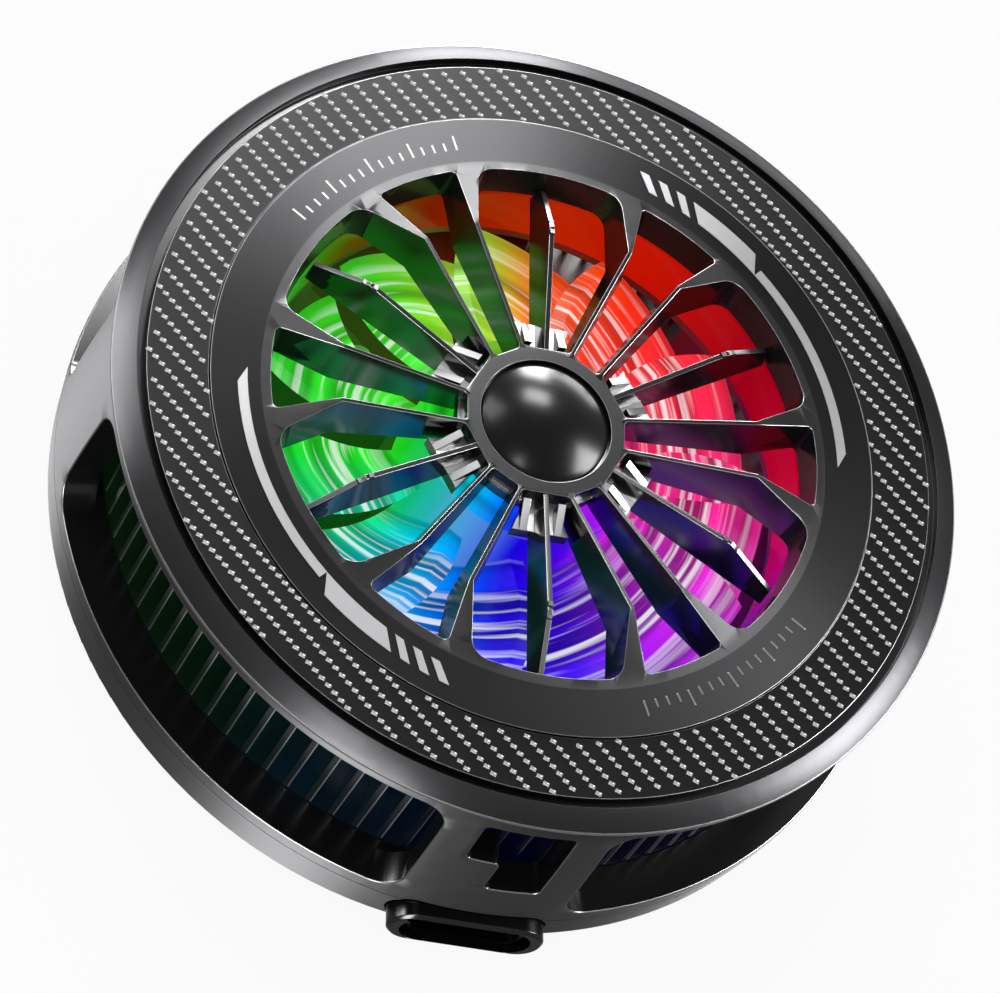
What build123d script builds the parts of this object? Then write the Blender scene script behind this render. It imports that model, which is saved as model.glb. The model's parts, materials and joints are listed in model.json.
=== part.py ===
# Phone cooling fan: a round magnetic cooler with a wheel-like front grille, a lit fan,
# a finned heat sink behind side windows and a cold plate that lies against the phone.
# Millimetres, +Z up. The origin is the centre of the face that rests on the phone.
# The charging socket looks along -Y.

import os
from math import asin, cos, degrees, pi, radians, sin, sqrt

from build123d import *

os.makedirs("parts", exist_ok=True)

# Shared clearances
cut_overrun = 1.0        # how far a cutting solid runs past what it cuts
fit_gap = 0.03           # between two fixed pieces that nest in each other
loose_gap = 0.15         # between two fixed pieces dropped into place

# Drum, from the phone side up
body_radius = 33.0       # outer edge of the polished bezel
width_unit_share = 1 / 33    # the drum's widths are drawn in this share of its radius
width_unit = body_radius * width_unit_share
belly_swell = 0.3        # how far the drum bulges past the bezel edge at its widest
waist_inset = 0.4        # how far the drum draws in under the bezel
foot_inset = 0.45        # how far the base cover draws in towards the phone
side_crown = 0.18        # outward bow of the drum's side
wall_thickness = 2.3 * width_unit    # side shell wall
pad_proud = 0.5          # soft pads stand this far out of the base cover
cover_floor = 1.3        # base cover floor
cover_wall = 2.0 * width_unit    # base cover rim
cover_edge_round = 0.6
sill_thickness = 1.2     # side shell below its windows
window_height = 12.4
top_band = 1.4           # side shell above its windows

# Cooling stack between the base cover's floor and the heat sink
cold_flange_thickness = 0.6
ceramic_thickness = 0.3
pellet_height = 0.8
plate_thickness = 1.3        # heat sink's plate
plate_boss_height = 0.4      # heat sink's boss down to the hot ceramic

cover_bottom = pad_proud
floor_top = cover_bottom + cover_floor
cold_flange_top = floor_top + cold_flange_thickness
pellet_bottom = cold_flange_top + ceramic_thickness
pellet_top = pellet_bottom + pellet_height
stack_top = pellet_top + ceramic_thickness
band_top = stack_top + plate_boss_height + plate_thickness - sill_thickness
sill_top = band_top + sill_thickness
window_top = sill_top + window_height
shell_top = window_top + top_band
belly_radius = body_radius + belly_swell
waist_radius = body_radius - waist_inset
foot_radius = belly_radius - foot_inset
bore_radius = body_radius - wall_thickness

# Bezel and the rings of the front face
bezel_edge = 0.1         # straight outer edge of the bezel
bezel_rise = 0.83        # height of the polished band
bezel_width = 1.69 * width_unit
bezel_crown = 0.1        # outward bow of the polished band
groove_width = 0.7 * width_unit    # dark groove inside the polished band
carbon_width = 4.7 * width_unit
carbon_thickness = 0.7
carbon_sink = 0.15       # the carbon ring lies this far below the grille's rim
face_rise = 0.9          # the grille's rim stands this far above the bezel's outer edge
shelf_thickness = 1.2    # bezel plate under the rings
spigot_radius = 22.9 * width_unit    # the grille drops through the bezel inside this radius

edge_z = shell_top + bezel_edge
band_inner_radius = body_radius - bezel_width
carbon_outer = band_inner_radius - groove_width
carbon_inner = carbon_outer - carbon_width
face_top = edge_z + face_rise
carbon_top = face_top - carbon_sink
shelf_top = carbon_top - carbon_thickness
shelf_bottom = shelf_top - shelf_thickness

# Wheel of the front grille
cone_start_radius = 22.1 * width_unit    # where the flat rim turns up towards the spokes
opening_radius = 21.4 * width_unit    # outer end of the openings
kink_radius = 16.35 * width_unit    # crest where the spokes bend
hub_ring_radius = 6.05 * width_unit
hub_ring_bore = 5.12 * width_unit
kink_rise = 1.1              # the crest above the rim
hub_ring_drop = 0.35         # the hub ring below the rim
wheel_depth = 2.6
wall_draft = 0.8             # how much an opening narrows on each side towards the fan
end_draft = 0.5
opening_pairs = 6            # narrow and wide openings alternate
narrow_inner_half = 1.15 * width_unit
narrow_kink_half = 2.25 * width_unit
narrow_outer_half = 3.75 * width_unit
wide_inner_half = 1.85 * width_unit
wide_kink_half = 6.12 * width_unit
wide_outer_half = 6.0 * width_unit
inner_corner_round = 0.35 * width_unit
narrow_corner_round = 0.4 * width_unit
wide_corner_round = 1.5 * width_unit

crest_z = face_top + kink_rise
hub_ring_top = face_top - hub_ring_drop
wheel_bottom = face_top - wheel_depth

# Rib star under the grille
star_plate = 1.0             # thickness of its hub plate and feet
foot_reach = 8.85 * width_unit    # radius of the feet that cross the wide openings
rib_top_width = 0.38
rib_foot_width = 1.3
rib_end_drop = 1.3           # rib's outer end below the rim
rib_crest_rise = 0.75        # rib's crest above the rim
rib_root_drop = 0.4          # rib's inner end below the rim
gusset_width = 0.6 * width_unit
gusset_offset = 1.35 * width_unit    # each side of the rib
gusset_top_drop = 0.55       # gusset's top below the rim
stem_hole_radius = 1.5

star_top = wheel_bottom + star_plate
star_radius = hub_ring_radius + end_draft

# Hub cap
cap_rise = 1.25              # dome over its edge
cap_edge_drop = 0.6          # its edge below the rim
stem_below = 0.35            # stem below the rib star

cap_radius = hub_ring_bore - loose_gap
cap_edge_z = face_top - cap_edge_drop

# Printed foil stripes on the rim
foil_thickness = 0.06
foil_outer_radius = 24.55 * width_unit
foil_inner_radius = 23.1 * width_unit
foil_band_width = 0.75 * width_unit
foil_slant = 1.3 * width_unit    # how far the ticks lean along the rim
foil_start_angle = 69.5
foil_tick_count = 3
foil_tick_pitch_angle = 3.7
foil_tick_angle = 1.8
foil_block_angle = 14.5
foil_band_angle = 43

# Fan
head_gap = 0.9               # wheel to fan hub
cup_wall = 0.6
cup_roof = 0.8
blade_drop = 2.9             # blades below the top of the hub
blade_floor_gap = 1.6        # fan frame's arms to the blades
blade_tip_gap = 0.9
blade_width = 1.15           # measured along the rim, before its lean
blade_count = 11
blade_overlap_share = 1.06   # a blade's reach along the rim over the pitch
blade_sweep = 1.6            # how far a blade bows along the rim
yoke_wall = 0.45
magnet_wall = 0.6
air_gap = 0.35               # stator to rotor magnet
shaft_radius = 1.0
bearing_gap = 0.03
shaft_end_gap = 0.05
boss_radius = 2.4
boss_length = 2.2

cup_top = wheel_bottom - head_gap
blade_top = cup_top - blade_drop

# Fan frame and motor
arm_count = 4
arm_start_angle = 45
arm_width = 2.6
arm_thickness = 1.0
motor_base_margin = 0.6      # beyond the fan's hub
motor_base_thickness = 1.2
motor_board_thickness = 0.8
motor_board_margin = 1.0     # inside the motor base's edge
cup_floor_gap = 1.2          # motor board to the cup's mouth
tube_wall = 0.8
tube_shoulder = 0.5
tube_floor = 0.5
sleeve_wall = 1.55
sleeve_top_gap = 1.25        # bearing sleeve to the boss of the fan's hub
washer_thickness = 0.4
clip_thickness = 0.3
clip_rise = 0.4              # clip above the washer
clip_reach = 0.7             # clip beyond the shaft
groove_depth = 0.22
stator_height = 3.0
stator_yoke = 0.9
coil_space = 1.5             # from the stator's ring to its shoes
tooth_count = 6
tooth_width = 1.2
shoe_thickness = 0.7
shoe_half_angle = 24
coil_wall = 0.55
sensor_size = 1.5
sensor_height = 0.6
frame_ring_thickness = 0.8
frame_screw_radius = 0.55
frame_screw_head = 1.0
frame_screw_head_height = 0.6
frame_screw_bite = 1.1
frame_screw_place = 15.0 * width_unit    # distance from the centre

arm_top = sill_top + arm_thickness
blade_bottom = arm_top + blade_floor_gap
blade_height = blade_top - blade_bottom
motor_base_top = sill_top + motor_base_thickness
motor_board_top = motor_base_top + motor_board_thickness
cup_bottom = motor_board_top + cup_floor_gap
sleeve_radius = shaft_radius + bearing_gap + sleeve_wall
tube_bore = sleeve_radius + fit_gap
tube_radius = tube_bore + tube_wall
tube_foot_radius = tube_radius + tube_shoulder
washer_bottom = sill_top + tube_floor
shaft_bottom = washer_bottom + washer_thickness + shaft_end_gap
clip_bottom = shaft_bottom + clip_rise
sleeve_bottom = clip_bottom + clip_thickness + clip_rise
sleeve_top = cup_top - cup_roof - boss_length - sleeve_top_gap
sleeve_length = sleeve_top - sleeve_bottom
stator_bore = tube_radius + fit_gap
stator_ring_radius = stator_bore + stator_yoke
shoe_inner = stator_ring_radius + coil_space
stator_radius = shoe_inner + shoe_thickness
magnet_inner = stator_radius + air_gap
magnet_outer = magnet_inner + magnet_wall
yoke_inner = magnet_outer + fit_gap
yoke_outer = yoke_inner + yoke_wall
cup_inner = yoke_outer + fit_gap
cup_radius = cup_inner + cup_wall
motor_base_radius = cup_radius + motor_base_margin
motor_board_radius = motor_base_radius - motor_board_margin
stator_bottom = sleeve_bottom + coil_wall + cup_floor_gap
stator_top = stator_bottom + stator_height

# Lighting ring
diffuser_wall = 0.9 * width_unit
diffuser_lip_width = 0.6 * width_unit
diffuser_lip_height = 0.6
diffuser_lip_drop = 2.8      # lip's bottom below the wheel
frame_ring_drop = 5.0        # fan frame ring's top below the wheel
led_board_thickness = 0.8
led_board_width = 3.8 * width_unit
led_count = 12
led_size = 1.4
led_height = 0.7
led_inset = 0.05

diffuser_inner = opening_radius - end_draft
diffuser_outer = diffuser_inner + diffuser_wall
blade_tip_radius = diffuser_inner - blade_tip_gap
frame_ring_top = wheel_bottom - frame_ring_drop
frame_ring_bottom = frame_ring_top - frame_ring_thickness
lip_bottom = wheel_bottom - diffuser_lip_drop
led_board_bottom = lip_bottom + diffuser_lip_height
led_board_inner = diffuser_outer + loose_gap
led_board_outer = led_board_inner + led_board_width
frame_ring_outer = diffuser_outer + diffuser_lip_width + frame_ring_thickness

# Case posts and the long screws that close the case
post_count = 4
post_radius = 1.2 * width_unit
post_place = 24.6 * width_unit    # distance from the centre
case_screw_radius = 0.7
case_screw_head = 1.25
case_screw_head_height = 0.45
case_screw_bite = 2.4        # into the post
head_cover = 0.05            # screw head below the grip ring

# Heat sink
plate_gap = 0.1              # heat sink to the side shell's sill
fin_bore_gap = 0.9 * width_unit    # fins to the side shell
fin_length = 3.8 * width_unit
fin_thickness = 0.5
fin_count = 96
fin_head_gap = 0.2           # fins to the bezel plate

plate_bottom = sill_top - plate_thickness
fin_outer = bore_radius - fin_bore_gap
fin_inner = fin_outer - fin_length
fin_top = shelf_bottom - fin_head_gap
sill_radius = fin_outer + plate_gap

# Cell and cold plate
pad_thickness = 0.4
pad_radius = 15.0 * width_unit
cold_boss_radius = 15.5 * width_unit
cold_flange_radius = 20.0 * width_unit
ceramic_side = 23.0 * width_unit
pellet_side = 1.4
pellet_rows = 7
pellet_margin = 1.5          # outer pellets to the ceramics' edge
foam_gap = 0.3
lead_slot_width = 4.2

pellet_pitch = (ceramic_side - 2 * pellet_margin - pellet_side) / (pellet_rows - 1)

# Magnet ring and its steel shield
magnet_ring_inner = 23.2 * width_unit
magnet_ring_outer = 27.6 * width_unit
shield_thickness = 0.5
shield_air = 0.4             # shield to heat sink
magnet_sector_count = 16
magnet_arc_angle = 15.6
socket_gap_sectors = 2       # left out for the charging socket

shield_bottom = plate_bottom - shield_air - shield_thickness

# Grip ring under the base cover
grip_inner = 20.6 * width_unit
grip_outer = 29.4 * width_unit
grip_recess = 0.4

# Charging socket and its frame
socket_width = 8.94
socket_height = 3.16
socket_wall = 0.3
socket_length = 7.3
socket_back_wall = 0.4
tongue_side_gap = 0.825      # tongue to the socket's wall
tongue_thickness = 0.7
tongue_reach = 5.1
frame_side_gap = 0.53        # socket shell to the port frame, at its ends
frame_top_gap = 0.12         # socket shell to the port frame, above and below
frame_side_wall = 1.0
frame_top_wall = 0.3
frame_proud = 1.0            # port frame beyond the drum's belly
frame_edge_share = 0.83      # chamfer, of the port frame's thinner wall
frame_depth = 3.2
frame_lift = 0.2             # port frame above the base cover's foot
socket_recess = 0.6          # socket behind the port frame's front

tongue_width = socket_width - 2 * (socket_wall + tongue_side_gap)
frame_opening_width = socket_width + 2 * frame_side_gap
frame_opening_height = socket_height + 2 * frame_top_gap
frame_width = frame_opening_width + 2 * frame_side_wall
frame_height = frame_opening_height + 2 * frame_top_wall
frame_edge = frame_top_wall * frame_edge_share
frame_front_y = -(belly_radius + frame_proud)
frame_back_y = frame_front_y + frame_depth
port_z = cover_bottom + frame_lift + frame_height / 2
socket_front_y = frame_front_y + socket_recess
socket_back_y = socket_front_y + socket_length

# Main board and its parts
board_width = 17.0 * width_unit
board_depth = 4.4 * width_unit
board_thickness = 0.8
chip_side = 3.0
chip_height = 0.9
coil_part_side = 2.6
coil_part_height = 1.2
small_part_length = 1.6
small_part_width = 0.8

board_front_y = socket_back_y
board_back_y = board_front_y + board_depth
board_top = floor_top + board_thickness

# Inner leads
lead_radius = 0.3
lead_bend = 2.0
lead_pair_offset = 0.7
peltier_lead_offset = 1.3
led_lead_offset = 3.2
lead_hole_gap = 0.5
lead_bite = 0.6              # how far the leads reach in between the ceramics

# Side windows, set between four pillars
x_pillar_half_angle = 7.75
y_pillar_half_angle = 10.9
window_corner_round = 2.2

# Stepped vent in the pillar above the socket
vent_width = 6.9
vent_bar_height = 4.7
vent_step_height = 3.85
vent_step_width = 4.2
vent_top_drop = 0.4          # below the windows' top
vent_corner_round = 0.5


def polar(radius, angle):
    """A point at a radius and an angle in degrees."""
    return (radius * cos(radians(angle)), radius * sin(radians(angle)))


def side_profile_radius(height):
    """Outer radius of the side shell at a height, as straight as makes no difference."""
    share = (height - band_top) / (shell_top - band_top)
    return belly_radius + (waist_radius - belly_radius) * share


# Bezel ring: the polished band, the plate under the rings and four posts
with BuildPart() as bezel_ring:
    with BuildSketch(Plane.XZ) as bezel_section:
        with BuildLine():
            band_middle = ((body_radius + band_inner_radius) / 2 + bezel_crown / 2,
                           edge_z + bezel_rise / 2 + bezel_crown)
            Line((body_radius, shell_top), (body_radius, edge_z))
            ThreePointArc((body_radius, edge_z), band_middle,
                          (band_inner_radius, edge_z + bezel_rise))
            Polyline((band_inner_radius, edge_z + bezel_rise), (band_inner_radius, shelf_top),
                     (spigot_radius + loose_gap, shelf_top),
                     (spigot_radius + loose_gap, shelf_bottom),
                     (bore_radius - loose_gap, shelf_bottom),
                     (bore_radius - loose_gap, shell_top), (body_radius, shell_top))
        make_face()
    revolve(axis=Axis.Z)
    with BuildSketch(Plane.XY.offset(sill_top)):
        with PolarLocations(post_place, post_count, start_angle=arm_start_angle):
            Circle(post_radius)
    extrude(amount=shelf_bottom - sill_top)
    with BuildSketch(Plane.XY.offset(sill_top - cut_overrun)):
        with PolarLocations(post_place, post_count, start_angle=arm_start_angle):
            Circle(case_screw_radius + fit_gap)
    extrude(amount=cut_overrun + case_screw_bite + fit_gap, mode=Mode.SUBTRACT)
bezel_ring.part.label = "bezel_ring"
export_step(bezel_ring.part, "parts/bezel_ring.step")


# Carbon trim ring, a flat ring glued on the bezel plate
with BuildPart() as carbon_trim_ring:
    with BuildSketch(Plane.XY.offset(shelf_top)):
        Circle(carbon_outer)
        Circle(carbon_inner + fit_gap, mode=Mode.SUBTRACT)
    extrude(amount=carbon_thickness)
carbon_trim_ring.part.label = "carbon_trim_ring"
export_step(carbon_trim_ring.part, "parts/carbon_trim_ring.step")


def opening_outline(height, inner_half, inner_y, kink_half, outer_half, outer_radius, corner):
    """Outline of one grille opening, its centre line along +Y."""
    kink_y = sqrt(kink_radius ** 2 - kink_half ** 2)
    outer_y = sqrt(outer_radius ** 2 - outer_half ** 2)
    with BuildSketch(Plane.XY.offset(height)) as outline:
        with BuildLine():
            Polyline((-outer_half, outer_y), (-kink_half, kink_y), (-inner_half, inner_y),
                     (inner_half, inner_y), (kink_half, kink_y), (outer_half, outer_y))
            ThreePointArc((outer_half, outer_y), (0, outer_radius), (-outer_half, outer_y))
        make_face()
        by_height = outline.vertices().sort_by(Axis.Y)
        fillet(by_height[0:2], radius=inner_corner_round)
        fillet(outline.vertices().sort_by(Axis.Y)[-2:], radius=corner)
    return outline.sketch


def opening_cutter(inner_half, kink_half, outer_half, corner, lowest_inner_y):
    """Solid that cuts one drafted opening through the wheel."""
    crest_height = crest_z + cut_overrun
    foot_height = wheel_bottom - cut_overrun
    root_spread = wall_draft * (crest_height - hub_ring_top) / (crest_height - foot_height)
    rim_spread = end_draft * (crest_height - face_top) / (crest_height - foot_height)
    upper = opening_outline(crest_height, inner_half + root_spread, hub_ring_radius,
                            kink_half, outer_half, opening_radius + rim_spread, corner)
    lower = opening_outline(foot_height, inner_half + root_spread - wall_draft, lowest_inner_y,
                            kink_half - wall_draft, outer_half - wall_draft,
                            opening_radius - end_draft, corner)
    with BuildPart() as cutter:
        loft([upper, lower], ruled=True)
    return cutter.part


narrow_cutter = opening_cutter(narrow_inner_half, narrow_kink_half, narrow_outer_half,
                               narrow_corner_round, hub_ring_radius + end_draft / 2)
wide_cutter = opening_cutter(wide_inner_half, wide_kink_half, wide_outer_half,
                             wide_corner_round, hub_ring_radius + end_draft / 2)
narrow_turn_angle = -90
wide_turn_angle = narrow_turn_angle + 180 / opening_pairs

# Front grille: the flat rim, twelve drafted spokes that rise to a crest, and the hub ring
with BuildPart() as front_grille:
    with BuildSketch(Plane.XZ):
        with BuildLine():
            Polyline((carbon_inner - fit_gap, shelf_top), (carbon_inner - fit_gap, face_top),
                     (cone_start_radius, face_top), (kink_radius, crest_z),
                     (hub_ring_radius, hub_ring_top), (hub_ring_bore, hub_ring_top),
                     (hub_ring_bore, star_top), (star_radius, star_top),
                     (star_radius, wheel_bottom), (spigot_radius, wheel_bottom),
                     (spigot_radius, shelf_top), close=True)
        make_face()
    revolve(axis=Axis.Z)
    with PolarLocations(0, opening_pairs, start_angle=narrow_turn_angle):
        add(narrow_cutter, mode=Mode.SUBTRACT)
    with PolarLocations(0, opening_pairs, start_angle=wide_turn_angle):
        add(wide_cutter, mode=Mode.SUBTRACT)
front_grille.part.label = "front_grille"
export_step(front_grille.part, "parts/front_grille.step")


def rib_section(distance, top_height):
    """Drafted cross-section of a rib at a distance from the centre."""
    with BuildSketch(Plane.XZ.offset(-distance)) as section:
        with BuildLine():
            Polyline((-rib_foot_width / 2, wheel_bottom), (rib_foot_width / 2, wheel_bottom),
                     (rib_top_width / 2, top_height), (-rib_top_width / 2, top_height),
                     close=True)
        make_face()
    return section.sketch


# One rib with its foot and its pair of gussets, its centre line along +Y
rib_end_distance = opening_radius - end_draft - loose_gap
rib_root_distance = hub_ring_radius + loose_gap
foot_inner_half = wide_inner_half - loose_gap
foot_outer_half = (foot_inner_half + (wide_kink_half - wide_inner_half)
                   * (foot_reach - hub_ring_radius) / (kink_radius - hub_ring_radius)
                   - wall_draft + loose_gap)
with BuildPart() as rib_arm:
    loft([rib_section(rib_root_distance, face_top - rib_root_drop),
          rib_section(kink_radius, face_top + rib_crest_rise)], ruled=True)
    loft([rib_section(kink_radius, face_top + rib_crest_rise),
          rib_section(rib_end_distance, face_top - rib_end_drop)], ruled=True)
    with BuildSketch(Plane.XY.offset(wheel_bottom)):
        with BuildLine():
            Polyline((-foot_inner_half + wall_draft / 2, hub_ring_radius - end_draft),
                     (foot_inner_half - wall_draft / 2, hub_ring_radius - end_draft),
                     (foot_inner_half - wall_draft / 2, star_radius),
                     (foot_outer_half, foot_reach), (-foot_outer_half, foot_reach),
                     (-foot_inner_half + wall_draft / 2, star_radius), close=True)
        make_face()
    extrude(amount=star_plate)
    for side in (-1, 1):
        gusset_middle = side * gusset_offset
        with BuildSketch(Plane.YZ.offset(gusset_middle - gusset_width / 2)):
            with BuildLine():
                Polyline((star_radius + loose_gap, star_top),
                         (star_radius + loose_gap, face_top - gusset_top_drop),
                         (foot_reach, star_top), close=True)
            make_face()
        extrude(amount=gusset_width)

# Rib star: six ribs on a common hub plate, set into the grille from below
with BuildPart() as rib_star:
    with BuildSketch(Plane.XY.offset(wheel_bottom)):
        Circle(star_radius - fit_gap)
    extrude(amount=star_plate)
    with PolarLocations(0, opening_pairs, start_angle=wide_turn_angle):
        add(rib_arm.part)
    with BuildSketch(Plane.XY.offset(wheel_bottom - cut_overrun)):
        Circle(stem_hole_radius)
    extrude(amount=star_plate + 2 * cut_overrun, mode=Mode.SUBTRACT)
rib_star.part.label = "rib_star"
export_step(rib_star.part, "parts/rib_star.step")


# Hub cap: a glossy dome on a stem
with BuildPart() as hub_cap:
    with BuildSketch(Plane.XZ):
        with BuildLine():
            dome_radius = (cap_radius ** 2 + cap_rise ** 2) / (2 * cap_rise)
            RadiusArc((0, cap_edge_z + cap_rise), (cap_radius, cap_edge_z), dome_radius)
            Polyline((cap_radius, cap_edge_z), (cap_radius, star_top),
                     (stem_hole_radius - fit_gap, star_top),
                     (stem_hole_radius - fit_gap, wheel_bottom - stem_below),
                     (0, wheel_bottom - stem_below), (0, cap_edge_z + cap_rise))
        make_face()
    revolve(axis=Axis.Z)
hub_cap.part.label = "hub_cap"
export_step(hub_cap.part, "parts/hub_cap.step")


def foil_patch(start_angle, end_angle, inner, outer, start_lean, end_lean):
    """Foil outline between two angles, its two ends leaning along the rim."""
    outer_start = start_angle + degrees(start_lean / outer)
    outer_end = end_angle + degrees(end_lean / outer)
    with BuildSketch(Plane.XY.offset(face_top)) as patch:
        with BuildLine():
            ThreePointArc(polar(outer, outer_start), polar(outer, (outer_start + outer_end) / 2),
                          polar(outer, outer_end))
            Line(polar(outer, outer_end), polar(inner, end_angle))
            ThreePointArc(polar(inner, end_angle), polar(inner, (start_angle + end_angle) / 2),
                          polar(inner, start_angle))
            Line(polar(inner, start_angle), polar(outer, outer_start))
        make_face()
    return patch.sketch


# Foil stripes: three slanted ticks, a block and a long thin band, twice round the rim
foil_patches = []
for tick in range(foil_tick_count):
    tick_start = foil_start_angle - foil_tick_pitch_angle * tick
    foil_patches.append(foil_patch(tick_start, tick_start - foil_tick_angle, foil_inner_radius,
                                   foil_outer_radius, foil_slant, foil_slant))
block_start = foil_start_angle - foil_tick_pitch_angle * foil_tick_count
block_end = block_start - foil_block_angle
foil_patches.append(foil_patch(block_start, block_end, foil_inner_radius, foil_outer_radius,
                               foil_slant, foil_slant))
foil_patches.append(foil_patch(block_end, block_end - foil_band_angle, foil_inner_radius,
                               foil_inner_radius + foil_band_width, 0, foil_slant))
with BuildPart() as foil_stripes:
    for patch in foil_patches:
        with PolarLocations(0, 2):
            add(extrude(patch, amount=foil_thickness, mode=Mode.PRIVATE))
foil_stripes.part.label = "foil_stripes"
export_step(foil_stripes.part, "parts/foil_stripes.step")


# Cutter for one side window: a sector of the wall with rounded corners
window_angle = 90 - x_pillar_half_angle - y_pillar_half_angle
with BuildPart() as window_cutter:
    with BuildSketch(Plane.XZ):
        with Locations(((sill_radius + belly_radius) / 2, (sill_top + window_top) / 2)):
            Rectangle(belly_radius - sill_radius + 2 * cut_overrun, window_height)
    revolve(axis=Axis.Z, revolution_arc=window_angle)
    radial_edges = window_cutter.edges().filter_by(GeomType.LINE).filter_by(
        lambda edge: abs(edge.tangent_at(0).Z) < 0.5)
    fillet(radial_edges, radius=window_corner_round)

# Side shell: a barrel wall with four windows, a stepped vent and a notch for the port frame
vent_top = window_top - vent_top_drop
vent_step_z = vent_top - vent_bar_height
vent_bottom = vent_step_z - vent_step_height
with BuildPart() as side_shell:
    with BuildSketch(Plane.XZ):
        with BuildLine():
            crown_middle = ((belly_radius + waist_radius) / 2 + side_crown,
                            (band_top + shell_top) / 2)
            ThreePointArc((belly_radius, band_top), crown_middle, (waist_radius, shell_top))
            Polyline((waist_radius, shell_top), (bore_radius, shell_top),
                     (bore_radius, sill_top), (sill_radius, sill_top),
                     (sill_radius, band_top), (belly_radius, band_top))
        make_face()
    revolve(axis=Axis.Z)
    for quarter in range(2):
        add(window_cutter.part.rotate(Axis.Z, x_pillar_half_angle + 180 * quarter),
            mode=Mode.SUBTRACT)
        add(window_cutter.part.rotate(Axis.Z, 90 + y_pillar_half_angle + 180 * quarter),
            mode=Mode.SUBTRACT)
    with BuildSketch(Plane.XZ.offset(sill_radius - cut_overrun)) as vent_sketch:
        with BuildLine():
            Polyline((-vent_width / 2, vent_top), (vent_width / 2, vent_top),
                     (vent_width / 2, vent_bottom),
                     (vent_width / 2 - vent_step_width, vent_bottom),
                     (vent_width / 2 - vent_step_width, vent_step_z),
                     (-vent_width / 2, vent_step_z), close=True)
        make_face()
        fillet(vent_sketch.vertices(), radius=vent_corner_round)
    extrude(amount=belly_radius - sill_radius + 3 * cut_overrun, mode=Mode.SUBTRACT)
    with BuildSketch(Plane.XZ.offset(sill_radius - cut_overrun)):
        with Locations((0, port_z)):
            SlotOverall(frame_width + 2 * loose_gap, frame_height + 2 * loose_gap)
    extrude(amount=belly_radius - sill_radius + 3 * cut_overrun, mode=Mode.SUBTRACT)
side_shell.part.label = "side_shell"
export_step(side_shell.part, "parts/side_shell.step")


# Base cover: a shallow dish with the cold plate hole, grip ring recess and screw bosses
with BuildPart() as base_cover:
    with BuildSketch(Plane.XZ) as cover_section:
        with BuildLine():
            Polyline((foot_radius, cover_bottom), (belly_radius, band_top),
                     (belly_radius - cover_wall, band_top),
                     (belly_radius - cover_wall, floor_top),
                     (cold_boss_radius + loose_gap, floor_top),
                     (cold_boss_radius + loose_gap, cover_bottom),
                     (grip_inner - loose_gap, cover_bottom),
                     (grip_inner - loose_gap, cover_bottom + grip_recess),
                     (grip_outer + loose_gap, cover_bottom + grip_recess),
                     (grip_outer + loose_gap, cover_bottom), close=True)
        make_face()
        foot_corner = cover_section.vertices().sort_by(Axis.X)[-3:].sort_by(Axis.Y)[0]
        fillet(foot_corner, radius=cover_edge_round)
    revolve(axis=Axis.Z)
    with BuildSketch(Plane.XY.offset(floor_top)):
        with PolarLocations(post_place, post_count, start_angle=arm_start_angle):
            Circle(post_radius)
    extrude(amount=plate_bottom - floor_top)
    with BuildSketch(Plane.XY.offset(cover_bottom - cut_overrun)):
        with PolarLocations(post_place, post_count, start_angle=arm_start_angle):
            Circle(case_screw_radius + fit_gap)
    extrude(amount=plate_bottom - cover_bottom + 2 * cut_overrun, mode=Mode.SUBTRACT)
    with BuildSketch(Plane.XY.offset(cover_bottom)):
        with PolarLocations(post_place, post_count, start_angle=arm_start_angle):
            Circle(case_screw_head + fit_gap)
    extrude(amount=grip_recess + head_cover + case_screw_head_height, mode=Mode.SUBTRACT)
    with BuildSketch(Plane.XZ.offset(-frame_back_y - loose_gap)):
        with Locations((0, port_z)):
            SlotOverall(frame_width + 2 * loose_gap, frame_height + 2 * loose_gap)
    extrude(amount=frame_depth + cut_overrun, mode=Mode.SUBTRACT)
    socket_pocket_depth = port_z - socket_height / 2 - loose_gap
    with BuildSketch(Plane.XY.offset(socket_pocket_depth)):
        with Locations((0, (socket_back_y + frame_front_y) / 2)):
            Rectangle(socket_width + 2 * loose_gap, socket_back_y - frame_front_y)
    extrude(amount=band_top, mode=Mode.SUBTRACT)
base_cover.part.label = "base_cover"
export_step(base_cover.part, "parts/base_cover.step")


# Grip ring: a soft ring that keeps the cooler from sliding on the phone
with BuildPart() as grip_ring:
    with BuildSketch(Plane.XY):
        Circle(grip_outer)
        Circle(grip_inner, mode=Mode.SUBTRACT)
    extrude(amount=cover_bottom + grip_recess)
grip_ring.part.label = "grip_ring"
export_step(grip_ring.part, "parts/grip_ring.step")


# Contact pad: soft heat-conducting disc on the cold plate
with BuildPart() as contact_pad:
    with BuildSketch(Plane.XY):
        Circle(pad_radius)
    extrude(amount=pad_thickness)
contact_pad.part.label = "contact_pad"
export_step(contact_pad.part, "parts/contact_pad.step")


# Cold plate: an aluminium boss through the base cover with a flange on its floor
with BuildPart() as cold_plate:
    with BuildSketch(Plane.XY.offset(pad_thickness)):
        Circle(cold_boss_radius)
    extrude(amount=floor_top - pad_thickness)
    with BuildSketch(Plane.XY.offset(floor_top)):
        Circle(cold_flange_radius)
    extrude(amount=cold_flange_thickness)
cold_plate.part.label = "cold_plate"
export_step(cold_plate.part, "parts/cold_plate.step")


# Cold ceramic of the thermoelectric cell
with BuildPart() as cold_ceramic:
    with BuildSketch(Plane.XY.offset(cold_flange_top)):
        Rectangle(ceramic_side, ceramic_side)
    extrude(amount=ceramic_thickness)
cold_ceramic.part.label = "cold_ceramic"
export_step(cold_ceramic.part, "parts/cold_ceramic.step")


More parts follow.
